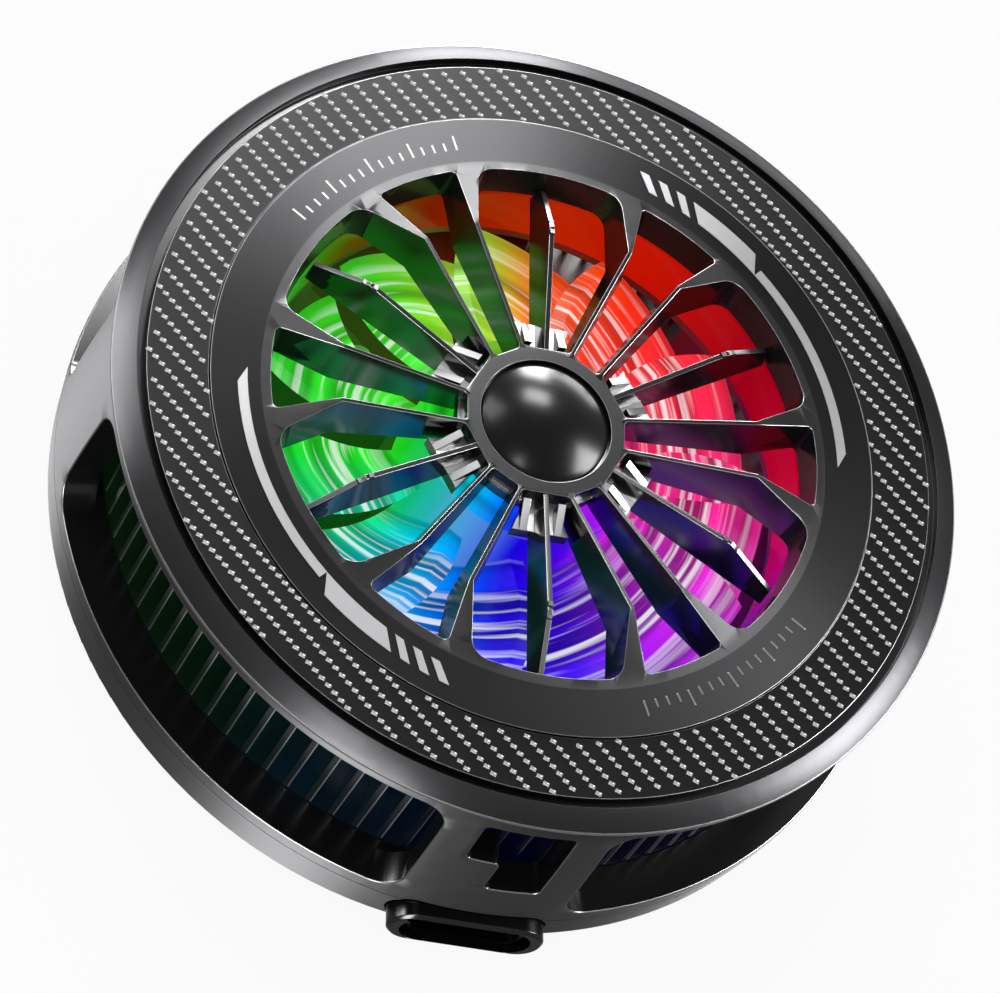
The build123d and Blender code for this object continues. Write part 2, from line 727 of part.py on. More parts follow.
# Semiconductor pellets between the two ceramics
with BuildPart() as cell_pellets:
    with BuildSketch(Plane.XY.offset(pellet_bottom)):
        with GridLocations(pellet_pitch, pellet_pitch, pellet_rows, pellet_rows):
            Rectangle(pellet_side, pellet_side)
    extrude(amount=pellet_height)
cell_pellets.part.label = "cell_pellets"
export_step(cell_pellets.part, "parts/cell_pellets.step")


# Hot ceramic of the thermoelectric cell
with BuildPart() as hot_ceramic:
    with BuildSketch(Plane.XY.offset(pellet_top)):
        Rectangle(ceramic_side, ceramic_side)
    extrude(amount=ceramic_thickness)
hot_ceramic.part.label = "hot_ceramic"
export_step(hot_ceramic.part, "parts/hot_ceramic.step")


# Foam seal round the cell, slotted for its leads
with BuildPart() as foam_seal:
    with BuildSketch(Plane.XY.offset(cold_flange_top)):
        Circle(cold_flange_radius - foam_gap)
        Rectangle(ceramic_side + 2 * foam_gap, ceramic_side + 2 * foam_gap, mode=Mode.SUBTRACT)
        with Locations((0, -cold_flange_radius / 2)):
            Rectangle(lead_slot_width, cold_flange_radius, mode=Mode.SUBTRACT)
    extrude(amount=stack_top - cold_flange_top)
foam_seal.part.label = "foam_seal"
export_step(foam_seal.part, "parts/foam_seal.step")


# Heat sink: a plate on the hot ceramic with a ring of upright fins behind the windows
lead_hole_y = board_back_y - lead_hole_gap - lead_radius
light_lead_radius = (frame_ring_outer + led_board_outer) / 2
light_lead_y = -sqrt(light_lead_radius ** 2 - led_lead_offset ** 2)
with BuildPart() as heat_sink:
    with BuildSketch(Plane.XY.offset(plate_bottom)):
        Circle(fin_outer)
    extrude(amount=plate_thickness)
    with BuildSketch(Plane.XY.offset(stack_top)):
        Circle(cold_flange_radius)
    extrude(amount=plate_bottom - stack_top)
    with BuildSketch(Plane.XY.offset(sill_top)):
        with PolarLocations(fin_outer - fin_length / 2, fin_count):
            Rectangle(fin_length, fin_thickness)
    extrude(amount=fin_top - sill_top)
    with BuildSketch(Plane.XY.offset(sill_top)):
        with PolarLocations(post_place, post_count, start_angle=arm_start_angle):
            Circle(case_screw_radius + fit_gap)
        with Locations((0, lead_hole_y)):
            SlotOverall(2 * (lead_pair_offset + lead_radius + lead_hole_gap),
                        2 * (lead_radius + lead_hole_gap))
        for side in (-1, 1):
            with Locations((side * led_lead_offset, light_lead_y)):
                Circle(lead_radius + lead_hole_gap)
    extrude(amount=-plate_thickness - cut_overrun, mode=Mode.SUBTRACT)
    with BuildSketch(Plane.XY.offset(sill_top)):
        with PolarLocations(frame_screw_place, arm_count, start_angle=arm_start_angle):
            Circle(frame_screw_radius + fit_gap)
    extrude(amount=-frame_screw_bite - fit_gap, mode=Mode.SUBTRACT)
    with BuildSketch(Plane.XY.offset(plate_bottom)):
        with Locations((0, (socket_back_y + frame_front_y) / 2)):
            Rectangle(socket_width + 2 * loose_gap, socket_back_y - frame_front_y + 2 * loose_gap)
    extrude(amount=port_z + socket_height / 2 + loose_gap - plate_bottom, mode=Mode.SUBTRACT)
heat_sink.part.label = "heat_sink"
export_step(heat_sink.part, "parts/heat_sink.step")


def sector_outline(height, inner, outer, middle_angle, span_angle):
    """Flat ring sector."""
    start = middle_angle - span_angle / 2
    end = middle_angle + span_angle / 2
    with BuildSketch(Plane.XY.offset(height)) as sector:
        with BuildLine():
            Line(polar(inner, start), polar(outer, start))
            ThreePointArc(polar(outer, start), polar(outer, middle_angle), polar(outer, end))
            Line(polar(outer, end), polar(inner, end))
            ThreePointArc(polar(inner, end), polar(inner, middle_angle), polar(inner, start))
        make_face()
    return sector.sketch


# Magnets: ring sectors with gaps for the case screws and the charging socket
magnet_pitch_angle = 360 / magnet_sector_count
first_magnet_angle = 270 + magnet_pitch_angle * (socket_gap_sectors + 1) / 2
kept_magnets = magnet_sector_count - socket_gap_sectors
with BuildPart() as magnets:
    for sector in range(kept_magnets):
        outline = sector_outline(floor_top, magnet_ring_inner, magnet_ring_outer,
                                 first_magnet_angle + magnet_pitch_angle * sector,
                                 magnet_arc_angle)
        add(extrude(outline, amount=shield_bottom - floor_top, mode=Mode.PRIVATE))
magnets.part.label = "magnets"
export_step(magnets.part, "parts/magnets.step")


# Magnet shield: a steel horseshoe over the magnets, holed for the screw bosses
shield_angle = magnet_pitch_angle * (kept_magnets - 1) + magnet_arc_angle
with BuildPart() as magnet_shield:
    add(extrude(sector_outline(shield_bottom, magnet_ring_inner, magnet_ring_outer, 90,
                               shield_angle), amount=shield_thickness, mode=Mode.PRIVATE))
    with BuildSketch(Plane.XY.offset(shield_bottom)):
        with PolarLocations(post_place, post_count, start_angle=arm_start_angle):
            Circle(post_radius + loose_gap)
    extrude(amount=shield_thickness, mode=Mode.SUBTRACT)
magnet_shield.part.label = "magnet_shield"
export_step(magnet_shield.part, "parts/magnet_shield.step")


# Port frame: the rounded collar round the charging socket
with BuildPart() as port_frame:
    with BuildSketch(Plane.XZ.offset(-frame_back_y)):
        with Locations((0, port_z)):
            SlotOverall(frame_width, frame_height)
            SlotOverall(frame_opening_width, frame_opening_height, mode=Mode.SUBTRACT)
    extrude(amount=frame_depth)
    front_face = port_frame.faces().sort_by(Axis.Y)[0]
    chamfer(front_face.outer_wire().edges(), length=frame_edge)
port_frame.part.label = "port_frame"
export_step(port_frame.part, "parts/port_frame.step")


# Socket shell: the metal tube of the charging socket, closed at its back
with BuildPart() as socket_shell:
    with BuildSketch(Plane.XZ.offset(-socket_back_y)):
        with Locations((0, port_z)):
            SlotOverall(socket_width, socket_height)
    extrude(amount=socket_length)
    with BuildSketch(Plane.XZ.offset(-socket_back_y + socket_back_wall)):
        with Locations((0, port_z)):
            SlotOverall(socket_width - 2 * socket_wall, socket_height - 2 * socket_wall)
    extrude(amount=socket_length, mode=Mode.SUBTRACT)
socket_shell.part.label = "socket_shell"
export_step(socket_shell.part, "parts/socket_shell.step")


# Socket tongue: the contact blade on the socket's back wall
with BuildPart() as socket_tongue:
    with BuildSketch(Plane.XZ.offset(-socket_back_y + socket_back_wall)):
        with Locations((0, port_z)):
            Rectangle(tongue_width, tongue_thickness)
    extrude(amount=tongue_reach)
socket_tongue.part.label = "socket_tongue"
export_step(socket_tongue.part, "parts/socket_tongue.step")


# Main board behind the socket
with BuildPart() as main_board:
    with BuildSketch(Plane.XY.offset(floor_top)):
        with Locations((0, (board_front_y + board_back_y) / 2)):
            Rectangle(board_width, board_depth)
    extrude(amount=board_thickness)
main_board.part.label = "main_board"
export_step(main_board.part, "parts/main_board.step")


# Board parts: a controller, a coil and two small capacitors
board_middle_y = (board_front_y + board_back_y) / 2
chip_x = (led_lead_offset + board_width / 2) / 2 + lead_radius
with BuildPart() as board_parts:
    with BuildSketch(Plane.XY.offset(board_top)):
        with Locations((-chip_x, board_middle_y)):
            Rectangle(chip_side, chip_side)
    extrude(amount=chip_height)
    with BuildSketch(Plane.XY.offset(board_top)):
        with Locations((chip_x, board_middle_y)):
            Rectangle(coil_part_side, coil_part_side)
    extrude(amount=coil_part_height)
    with BuildSketch(Plane.XY.offset(board_top)):
        for side in (-1, 1):
            with Locations((side * small_part_length, board_front_y + small_part_width)):
                Rectangle(small_part_length, small_part_width)
    extrude(amount=small_part_width)
board_parts.part.label = "board_parts"
export_step(board_parts.part, "parts/board_parts.step")


# Fan frame: motor base, bearing tube, four arms and legs, and the ring round the fan
arm_middle_radius = (motor_base_radius + frame_ring_outer) / 2
with BuildPart() as fan_frame:
    with BuildSketch(Plane.XY.offset(sill_top)):
        Circle(motor_base_radius)
    extrude(amount=motor_base_thickness)
    with BuildSketch(Plane.XY.offset(sill_top)):
        with PolarLocations(frame_ring_outer / 2, arm_count, start_angle=arm_start_angle):
            Rectangle(frame_ring_outer, arm_width)
        Circle(frame_ring_outer, mode=Mode.INTERSECT)
    extrude(amount=arm_thickness)
    with BuildSketch(Plane.XY.offset(sill_top)):
        with PolarLocations(frame_ring_outer / 2, arm_count, start_angle=arm_start_angle):
            Rectangle(frame_ring_outer, arm_width)
        Circle(frame_ring_outer, mode=Mode.INTERSECT)
        Circle(diffuser_outer, mode=Mode.SUBTRACT)
    extrude(amount=frame_ring_bottom - sill_top)
    with BuildSketch(Plane.XY.offset(frame_ring_bottom)):
        Circle(frame_ring_outer)
        Circle(diffuser_inner, mode=Mode.SUBTRACT)
    extrude(amount=frame_ring_thickness)
    with BuildSketch(Plane.XY.offset(motor_base_top)):
        Circle(tube_foot_radius)
    extrude(amount=stator_bottom - motor_base_top)
    with BuildSketch(Plane.XY.offset(stator_bottom)):
        Circle(tube_radius)
    extrude(amount=sleeve_top - stator_bottom)
    with BuildSketch(Plane.XY.offset(washer_bottom)):
        Circle(tube_bore)
    extrude(amount=sleeve_top - washer_bottom + cut_overrun, mode=Mode.SUBTRACT)
    with BuildSketch(Plane.XY.offset(sill_top)):
        with PolarLocations(frame_screw_place, arm_count, start_angle=arm_start_angle):
            Circle(frame_screw_radius + fit_gap)
    extrude(amount=arm_thickness, mode=Mode.SUBTRACT)
fan_frame.part.label = "fan_frame"
export_step(fan_frame.part, "parts/fan_frame.step")


# Screws that hold the fan frame on the heat sink
with BuildPart() as frame_screws:
    with BuildSketch(Plane.XY.offset(sill_top - frame_screw_bite)):
        with PolarLocations(frame_screw_place, arm_count, start_angle=arm_start_angle):
            Circle(frame_screw_radius)
    extrude(amount=frame_screw_bite + arm_thickness)
    with BuildSketch(Plane.XY.offset(arm_top)):
        with PolarLocations(frame_screw_place, arm_count, start_angle=arm_start_angle):
            Circle(frame_screw_head)
            RegularPolygon(frame_screw_radius, 6, mode=Mode.SUBTRACT)
    extrude(amount=frame_screw_head_height)
frame_screws.part.label = "frame_screws"
export_step(frame_screws.part, "parts/frame_screws.step")


# Long screws that hold the base cover and heat sink to the bezel's posts
case_head_bottom = cover_bottom + grip_recess + head_cover
case_head_top = case_head_bottom + case_screw_head_height
with BuildPart() as case_screws:
    with BuildSketch(Plane.XY.offset(case_head_bottom)):
        with PolarLocations(post_place, post_count, start_angle=arm_start_angle):
            Circle(case_screw_head)
    extrude(amount=case_screw_head_height)
    with BuildSketch(Plane.XY.offset(case_head_top)):
        with PolarLocations(post_place, post_count, start_angle=arm_start_angle):
            Circle(case_screw_radius)
    extrude(amount=sill_top + case_screw_bite - case_head_top)
    with BuildSketch(Plane.XY.offset(case_head_bottom)):
        with PolarLocations(post_place, post_count, start_angle=arm_start_angle):
            RegularPolygon(case_screw_radius, 6)
    extrude(amount=case_screw_head_height / 2, mode=Mode.SUBTRACT)
case_screws.part.label = "case_screws"
export_step(case_screws.part, "parts/case_screws.step")


# Motor board round the bearing tube, with its position sensor
with BuildPart() as motor_board:
    with BuildSketch(Plane.XY.offset(motor_base_top)):
        Circle(motor_board_radius)
        Circle(tube_foot_radius + loose_gap, mode=Mode.SUBTRACT)
    extrude(amount=motor_board_thickness)
    with BuildSketch(Plane.XY.offset(motor_board_top)):
        with Locations(((magnet_inner + magnet_outer) / 2, 0)):
            Rectangle(sensor_size, sensor_size)
    extrude(amount=sensor_height)
motor_board.part.label = "motor_board"
export_step(motor_board.part, "parts/motor_board.step")


# Bearing sleeve in the tube
with BuildPart() as bearing_sleeve:
    with BuildSketch(Plane.XY.offset(sleeve_bottom)):
        Circle(sleeve_radius)
        Circle(shaft_radius + bearing_gap, mode=Mode.SUBTRACT)
    extrude(amount=sleeve_length)
bearing_sleeve.part.label = "bearing_sleeve"
export_step(bearing_sleeve.part, "parts/bearing_sleeve.step")


# Thrust washer under the shaft's end
with BuildPart() as thrust_washer:
    with BuildSketch(Plane.XY.offset(washer_bottom)):
        Circle(tube_bore - fit_gap)
    extrude(amount=washer_thickness)
thrust_washer.part.label = "thrust_washer"
export_step(thrust_washer.part, "parts/thrust_washer.step")


# Stator core: a toothed steel stack on the bearing tube
with BuildPart() as stator_core:
    with BuildSketch(Plane.XY.offset(stator_bottom)):
        Circle(stator_ring_radius)
        with PolarLocations((stator_ring_radius + shoe_inner) / 2, tooth_count):
            Rectangle(shoe_inner - stator_ring_radius + shoe_thickness, tooth_width)
        for tooth in range(tooth_count):
            add(sector_outline(0, shoe_inner, stator_radius, 360 / tooth_count * tooth,
                               2 * shoe_half_angle))
        Circle(stator_bore, mode=Mode.SUBTRACT)
    extrude(amount=stator_height)
stator_core.part.label = "stator_core"
export_step(stator_core.part, "parts/stator_core.step")


# Stator coils: one winding round each tooth
coil_half_width = tooth_width / 2 + coil_wall
coil_inner_end = stator_ring_radius + fit_gap
coil_outer_end = sqrt(shoe_inner ** 2 - coil_half_width ** 2) - fit_gap
coil_length = coil_outer_end - coil_inner_end
coil_middle = (coil_inner_end + coil_outer_end) / 2
with BuildPart() as stator_coils:
    with BuildSketch(Plane.XY.offset(stator_bottom - coil_wall)):
        with PolarLocations(coil_middle, tooth_count):
            Rectangle(coil_length, 2 * coil_half_width)
    extrude(amount=stator_height + 2 * coil_wall)
    with BuildSketch(Plane.XY.offset(stator_bottom - fit_gap)):
        with PolarLocations(coil_middle, tooth_count):
            Rectangle(coil_length + 2 * fit_gap, tooth_width + 2 * fit_gap)
    extrude(amount=stator_height + 2 * fit_gap, mode=Mode.SUBTRACT)
stator_coils.part.label = "stator_coils"
export_step(stator_coils.part, "parts/stator_coils.step")


# One fan blade: a bowed strip turned steadily about the shaft as it rises
blade_pitch_angle = 360 / blade_count
blade_root_radius = cup_radius - cup_wall / 2
blade_turn_angle = blade_pitch_angle * blade_overlap_share
blade_middle_radius = (blade_root_radius + blade_tip_radius) / 2
with BuildSketch(Plane.XY) as blade_section:
    with BuildLine():
        ThreePointArc((blade_root_radius, 0), (blade_middle_radius, blade_sweep),
                      (blade_tip_radius, 0))
        Line((blade_tip_radius, 0), (blade_tip_radius, blade_width))
        ThreePointArc((blade_tip_radius, blade_width),
                      (blade_middle_radius, blade_sweep + blade_width),
                      (blade_root_radius, blade_width))
        Line((blade_root_radius, blade_width), (blade_root_radius, 0))
    make_face()
blade_solid = Solid.extrude_linear_with_rotation(
    blade_section.face(), (0, 0, 0), (0, 0, blade_height), blade_turn_angle)
blade_solid = blade_solid.moved(Location((0, 0, blade_bottom)))

# Fan impeller: the hub cup with its blades
with BuildPart() as fan_impeller:
    with BuildSketch(Plane.XY.offset(cup_bottom)):
        Circle(cup_radius)
    extrude(amount=cup_top - cup_bottom)
    with PolarLocations(0, blade_count):
        add(blade_solid)
    with BuildSketch(Plane.XY.offset(blade_bottom - cut_overrun)):
        Circle(cup_inner)
    extrude(amount=cup_top - cup_roof - blade_bottom + cut_overrun, mode=Mode.SUBTRACT)
    with BuildSketch(Plane.XY.offset(cup_top - cup_roof - boss_length)):
        Circle(boss_radius)
        Circle(shaft_radius + fit_gap, mode=Mode.SUBTRACT)
    extrude(amount=boss_length)
fan_impeller.part.label = "fan_impeller"
export_step(fan_impeller.part, "parts/fan_impeller.step")


# Rotor yoke: a steel ring inside the hub cup
with BuildPart() as rotor_yoke:
    with BuildSketch(Plane.XY.offset(cup_bottom)):
        Circle(yoke_outer)
        Circle(yoke_inner, mode=Mode.SUBTRACT)
    extrude(amount=cup_top - cup_roof - cup_bottom)
rotor_yoke.part.label = "rotor_yoke"
export_step(rotor_yoke.part, "parts/rotor_yoke.step")


# Rotor magnet: a ring magnet inside the yoke, level with the stator
with BuildPart() as rotor_magnet:
    with BuildSketch(Plane.XY.offset(stator_bottom - coil_wall)):
        Circle(magnet_outer)
        Circle(magnet_inner, mode=Mode.SUBTRACT)
    extrude(amount=stator_height + 2 * coil_wall)
rotor_magnet.part.label = "rotor_magnet"
export_step(rotor_magnet.part, "parts/rotor_magnet.step")


# Fan shaft, grooved for its retaining clip
clip_groove_radius = shaft_radius - groove_depth
with BuildPart() as fan_shaft:
    with BuildSketch(Plane.XY.offset(shaft_bottom)):
        Circle(shaft_radius)
    extrude(amount=cup_top - cup_roof - shaft_bottom)
    with BuildSketch(Plane.XY.offset(clip_bottom)):
        Circle(shaft_radius + cut_overrun)
        Circle(clip_groove_radius, mode=Mode.SUBTRACT)
    extrude(amount=clip_thickness + fit_gap, mode=Mode.SUBTRACT)
fan_shaft.part.label = "fan_shaft"
export_step(fan_shaft.part, "parts/fan_shaft.step")


# Retaining clip: a slit ring in the shaft's groove
with BuildPart() as retaining_clip:
    with BuildSketch(Plane.XY.offset(clip_bottom)):
        Circle(shaft_radius + clip_reach)
        Circle(clip_groove_radius + fit_gap, mode=Mode.SUBTRACT)
        with Locations((shaft_radius, 0)):
            Rectangle(2 * shaft_radius, clip_reach, mode=Mode.SUBTRACT)
    extrude(amount=clip_thickness)
retaining_clip.part.label = "retaining_clip"
export_step(retaining_clip.part, "parts/retaining_clip.step")


# Light diffuser: the clear ring round the fan, with a lip under the light board
with BuildPart() as light_diffuser:
    with BuildSketch(Plane.XY.offset(frame_ring_top)):
        Circle(diffuser_outer)
        Circle(diffuser_inner, mode=Mode.SUBTRACT)
    extrude(amount=frame_ring_drop - loose_gap)
    with BuildSketch(Plane.XY.offset(lip_bottom)):
        Circle(diffuser_outer + diffuser_lip_width)
        Circle(diffuser_inner, mode=Mode.SUBTRACT)
    extrude(amount=diffuser_lip_height)
light_diffuser.part.label = "light_diffuser"
export_step(light_diffuser.part, "parts/light_diffuser.step")


# Light board: a narrow ring board on the diffuser's lip, holed for the posts
with BuildPart() as light_board:
    with BuildSketch(Plane.XY.offset(led_board_bottom)):
        Circle(led_board_outer)
        Circle(led_board_inner, mode=Mode.SUBTRACT)
        with PolarLocations(post_place, post_count, start_angle=arm_start_angle):
            Circle(post_radius + loose_gap, mode=Mode.SUBTRACT)
    extrude(amount=led_board_thickness)
light_board.part.label = "light_board"
export_step(light_board.part, "parts/light_board.step")


# Lamps under the light board, shining into the diffuser
lamp_place = diffuser_outer + diffuser_lip_width + led_inset + led_size / 2
with BuildPart() as lamps:
    with BuildSketch(Plane.XY.offset(led_board_bottom - led_height)):
        with PolarLocations(lamp_place, led_count):
            Rectangle(led_size, led_size)
    extrude(amount=led_height)
lamps.part.label = "lamps"
export_step(lamps.part, "parts/lamps.step")


# Leads from the main board to the thermoelectric cell
cell_lead_z = (pellet_bottom + pellet_top) / 2
with BuildPart() as cell_leads:
    for side in (-1, 1):
        with BuildSketch(Plane.XZ.offset(ceramic_side / 2 - lead_bite)):
            with Locations((side * peltier_lead_offset, cell_lead_z)):
                Circle(lead_radius)
        extrude(amount=-board_back_y - ceramic_side / 2 + 2 * lead_bite)
cell_leads.part.label = "cell_leads"
export_step(cell_leads.part, "parts/cell_leads.step")


# Leads from the main board up to the motor board
motor_lead_z = motor_base_top + motor_board_thickness / 2
with BuildPart() as motor_leads:
    for side in (-1, 1):
        lead_x = side * lead_pair_offset
        with BuildLine() as lead_route:
            FilletPolyline((lead_x, lead_hole_y, board_top),
                           (lead_x, lead_hole_y, motor_lead_z),
                           (lead_x, -motor_board_radius, motor_lead_z), radius=lead_bend)
        with BuildSketch(Plane.XY.offset(board_top)):
            with Locations((lead_x, lead_hole_y)):
                Circle(lead_radius)
        sweep(path=lead_route.line)
motor_leads.part.label = "motor_leads"
export_step(motor_leads.part, "parts/motor_leads.step")


# Leads from the main board up to the light board
with BuildPart() as light_leads:
    with BuildSketch(Plane.XY.offset(board_top)):
        for side in (-1, 1):
            with Locations((side * led_lead_offset, light_lead_y)):
                Circle(lead_radius)
    extrude(amount=led_board_bottom - board_top)
light_leads.part.label = "light_leads"
export_step(light_leads.part, "parts/light_leads.step")
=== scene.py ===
import bmesh
import bpy
import json
import math
from mathutils import Matrix, Vector


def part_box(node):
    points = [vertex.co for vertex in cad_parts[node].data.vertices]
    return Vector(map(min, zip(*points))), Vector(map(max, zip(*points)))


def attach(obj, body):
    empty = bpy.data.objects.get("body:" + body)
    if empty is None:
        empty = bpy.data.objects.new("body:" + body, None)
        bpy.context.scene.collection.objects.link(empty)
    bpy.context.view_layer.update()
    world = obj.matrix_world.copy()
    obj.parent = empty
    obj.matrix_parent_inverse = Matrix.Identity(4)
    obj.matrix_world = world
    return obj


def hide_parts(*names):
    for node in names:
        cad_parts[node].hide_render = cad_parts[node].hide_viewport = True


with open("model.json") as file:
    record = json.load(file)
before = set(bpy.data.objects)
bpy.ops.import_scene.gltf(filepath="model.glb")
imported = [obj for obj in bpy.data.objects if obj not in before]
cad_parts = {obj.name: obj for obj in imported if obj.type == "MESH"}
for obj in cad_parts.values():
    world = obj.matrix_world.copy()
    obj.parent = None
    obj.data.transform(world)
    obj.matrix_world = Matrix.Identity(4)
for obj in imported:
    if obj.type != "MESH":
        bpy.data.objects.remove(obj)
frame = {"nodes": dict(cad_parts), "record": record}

MM = 0.001
MIX_SHARE, MIX_FIRST, MIX_SECOND, MIX_RESULT = 0, 6, 7, 2    # sockets of a mix of colours
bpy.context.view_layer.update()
record_slots = {row["node"]: row["material_slot"] for row in frame["record"]["subparts"]}
node_body = {node: body for body, nodes in frame["record"]["behaviour"]["bodies"].items()
             for node in nodes}


# Camera

def place_camera():
    """The camera of the photograph: its place and axes in millimetres and unit vectors."""
    right = Vector((0.943674, 0.009123, 0.330751))
    up = Vector((-0.170098, 0.870791, 0.461291))
    back = Vector((-0.283807, -0.491568, 0.823295))
    place = Vector((-101.516, -176.773, 304.092)) * MM
    data = bpy.data.cameras.new("photo_camera")
    data.lens = 170.689
    data.sensor_width = 36
    data.clip_start = 0.01
    camera = bpy.data.objects.new("photo_camera", data)
    camera.matrix_world = Matrix((
        (right.x, up.x, back.x, place.x),
        (right.y, up.y, back.y, place.y),
        (right.z, up.z, back.z, place.z),
        (0, 0, 0, 1)))
    bpy.context.scene.collection.objects.link(camera)
    bpy.context.scene.camera = camera


# Studio

def seen_by_eye(tree):
    """1 for rays from the camera, also by way of a reflection or through glass."""
    path = tree.nodes.new("ShaderNodeLightPath")
    seen = None
    for kind in ("Is Camera Ray", "Is Glossy Ray", "Is Transmission Ray"):
        if seen is None:
            seen = path.outputs[kind]
            continue
        either = tree.nodes.new("ShaderNodeMath")
        either.operation = "MAXIMUM"
        tree.links.new(seen, either.inputs[0])
        tree.links.new(path.outputs[kind], either.inputs[1])
        seen = either.outputs[0]
    return seen


def studio_world(level=0.45):
    """An even room that the camera, gloss and glass see as white."""
    world = bpy.data.worlds.new("studio")
    world.use_nodes = True
    tree = world.node_tree
    tree.nodes.clear()
    room = tree.nodes.new("ShaderNodeBackground")
    room.inputs["Color"].default_value = (1, 1, 1, 1)
    room.inputs["Strength"].default_value = level
    white = tree.nodes.new("ShaderNodeBackground")
    white.inputs["Color"].default_value = (1, 1, 1, 1)
    white.inputs["Strength"].default_value = 1.0
    mix = tree.nodes.new("ShaderNodeMixShader")
    out = tree.nodes.new("ShaderNodeOutputWorld")
    tree.links.new(seen_by_eye(tree), mix.inputs[0])
    tree.links.new(room.outputs[0], mix.inputs[1])
    tree.links.new(white.outputs[0], mix.inputs[2])
    tree.links.new(mix.outputs[0], out.inputs["Surface"])
    bpy.context.scene.world = world


def softbox(name, azimuth, elevation, distance, width, height, radiance, gloss=True,
            diffuse=True):
    """A soft panel lamp aimed at the cooler. radiance is its brightness seen head on."""
    data = bpy.data.lights.new(name, "AREA")
    data.shape = "RECTANGLE"
    data.size = width
    data.size_y = height
    data.energy = radiance * math.pi * width * height
    lamp = bpy.data.objects.new(name, data)
    az, el = math.radians(azimuth), math.radians(elevation)
    middle_of_cooler = Vector((0, 0, 12 * MM))
    offset = Vector((math.cos(el) * math.cos(az), math.cos(el) * math.sin(az), math.sin(el)))
    lamp.location = middle_of_cooler + offset * distance
    lamp.rotation_euler = offset.to_track_quat("Z", "Y").to_euler()
    lamp.visible_glossy = gloss
    lamp.visible_diffuse = diffuse
    bpy.context.scene.collection.objects.link(lamp)


def pale_floor():
    """A white floor that keeps the cooler's soft shadow."""
    floor_radius = 3.0
    pad_clearance = 0.05 * MM
    glow_share = 0.93    # the rest is lit, and so shows the shadow
    mesh = bpy.data.meshes.new("floor")
    bm = bmesh.new()
    bmesh.ops.create_circle(bm, cap_ends=True, segments=64, radius=floor_radius)
    bm.to_mesh(mesh)
    bm.free()
    floor = bpy.data.objects.new("floor", mesh)
    floor.location = (0, 0, -pad_clearance)
    bpy.context.scene.collection.objects.link(floor)
    material = bpy.data.materials.new("floor_white")
    material.use_nodes = True
    tree = material.node_tree
    tree.nodes.clear()
    lit = tree.nodes.new("ShaderNodeBsdfDiffuse")
    lit.inputs["Color"].default_value = (0.9, 0.9, 0.9, 1)
    glow = tree.nodes.new("ShaderNodeEmission")
    glow.inputs["Color"].default_value = (1, 1, 1, 1)
    glow.inputs["Strength"].default_value = 1.0
    share = tree.nodes.new("ShaderNodeMath")
    share.operation = "MULTIPLY"
    share.inputs[1].default_value = glow_share
    tree.links.new(seen_by_eye(tree), share.inputs[0])
    mix = tree.nodes.new("ShaderNodeMixShader")
    out = tree.nodes.new("ShaderNodeOutputMaterial")
    tree.links.new(share.outputs[0], mix.inputs[0])
    tree.links.new(lit.outputs[0], mix.inputs[1])
    tree.links.new(glow.outputs[0], mix.inputs[2])
    tree.links.new(mix.outputs[0], out.inputs["Surface"])
    mesh.materials.append(material)


# Shared effects, as node groups

def new_group(name, inputs, outputs):
    """A shader node group with its named sockets; returns the group, its input and output."""
    group = bpy.data.node_groups.new(name, "ShaderNodeTree")
    for label, kind, value in inputs:
        socket = group.interface.new_socket(name=label, in_out="INPUT", socket_type=kind)
        if value is not None:
            socket.default_value = value
    for label, kind in outputs:
        group.interface.new_socket(name=label, in_out="OUTPUT", socket_type=kind)
    return group, group.nodes.new("NodeGroupInput"), group.nodes.new("NodeGroupOutput")


def math_node(tree, operation, first, second=None, clamp=False):
    """A math node whose inputs are numbers or sockets; returns its output."""
    node = tree.nodes.new("ShaderNodeMath")
    node.operation = operation
    node.use_clamp = clamp
    for index, value in enumerate((first, second)):
        if value is None:
            continue
        if isinstance(value, (int, float)):
            node.inputs[index].default_value = value
        else:
            tree.links.new(value, node.inputs[index])
    return node.outputs[0]


def colour_mix(tree, first, second, share=1.0, blend="MIX"):
    """A colour mix whose inputs are colours, numbers or sockets; returns its output."""
    node = tree.nodes.new("ShaderNodeMix")
    node.data_type = "RGBA"
    node.blend_type = blend
    for index, value in ((MIX_SHARE, share), (MIX_FIRST, first), (MIX_SECOND, second)):
        if isinstance(value, bpy.types.NodeSocket):
            tree.links.new(value, node.inputs[index])
        elif isinstance(value, tuple):
            node.inputs[index].default_value = (*value, 1)
        else:
            node.inputs[index].default_value = value
    return node.outputs[MIX_RESULT]


def spread_range(tree, value, start, end, to_start=0.0, to_end=1.0):
    """A value carried from one range to another and held at its ends; returns the output."""
    node = tree.nodes.new("ShaderNodeMapRange")
    node.inputs["From Min"].default_value = start
    node.inputs["From Max"].default_value = end
    node.inputs["To Min"].default_value = to_start
    node.inputs["To Max"].default_value = to_end
    tree.links.new(value, node.inputs["Value"])
    return node.outputs[0]


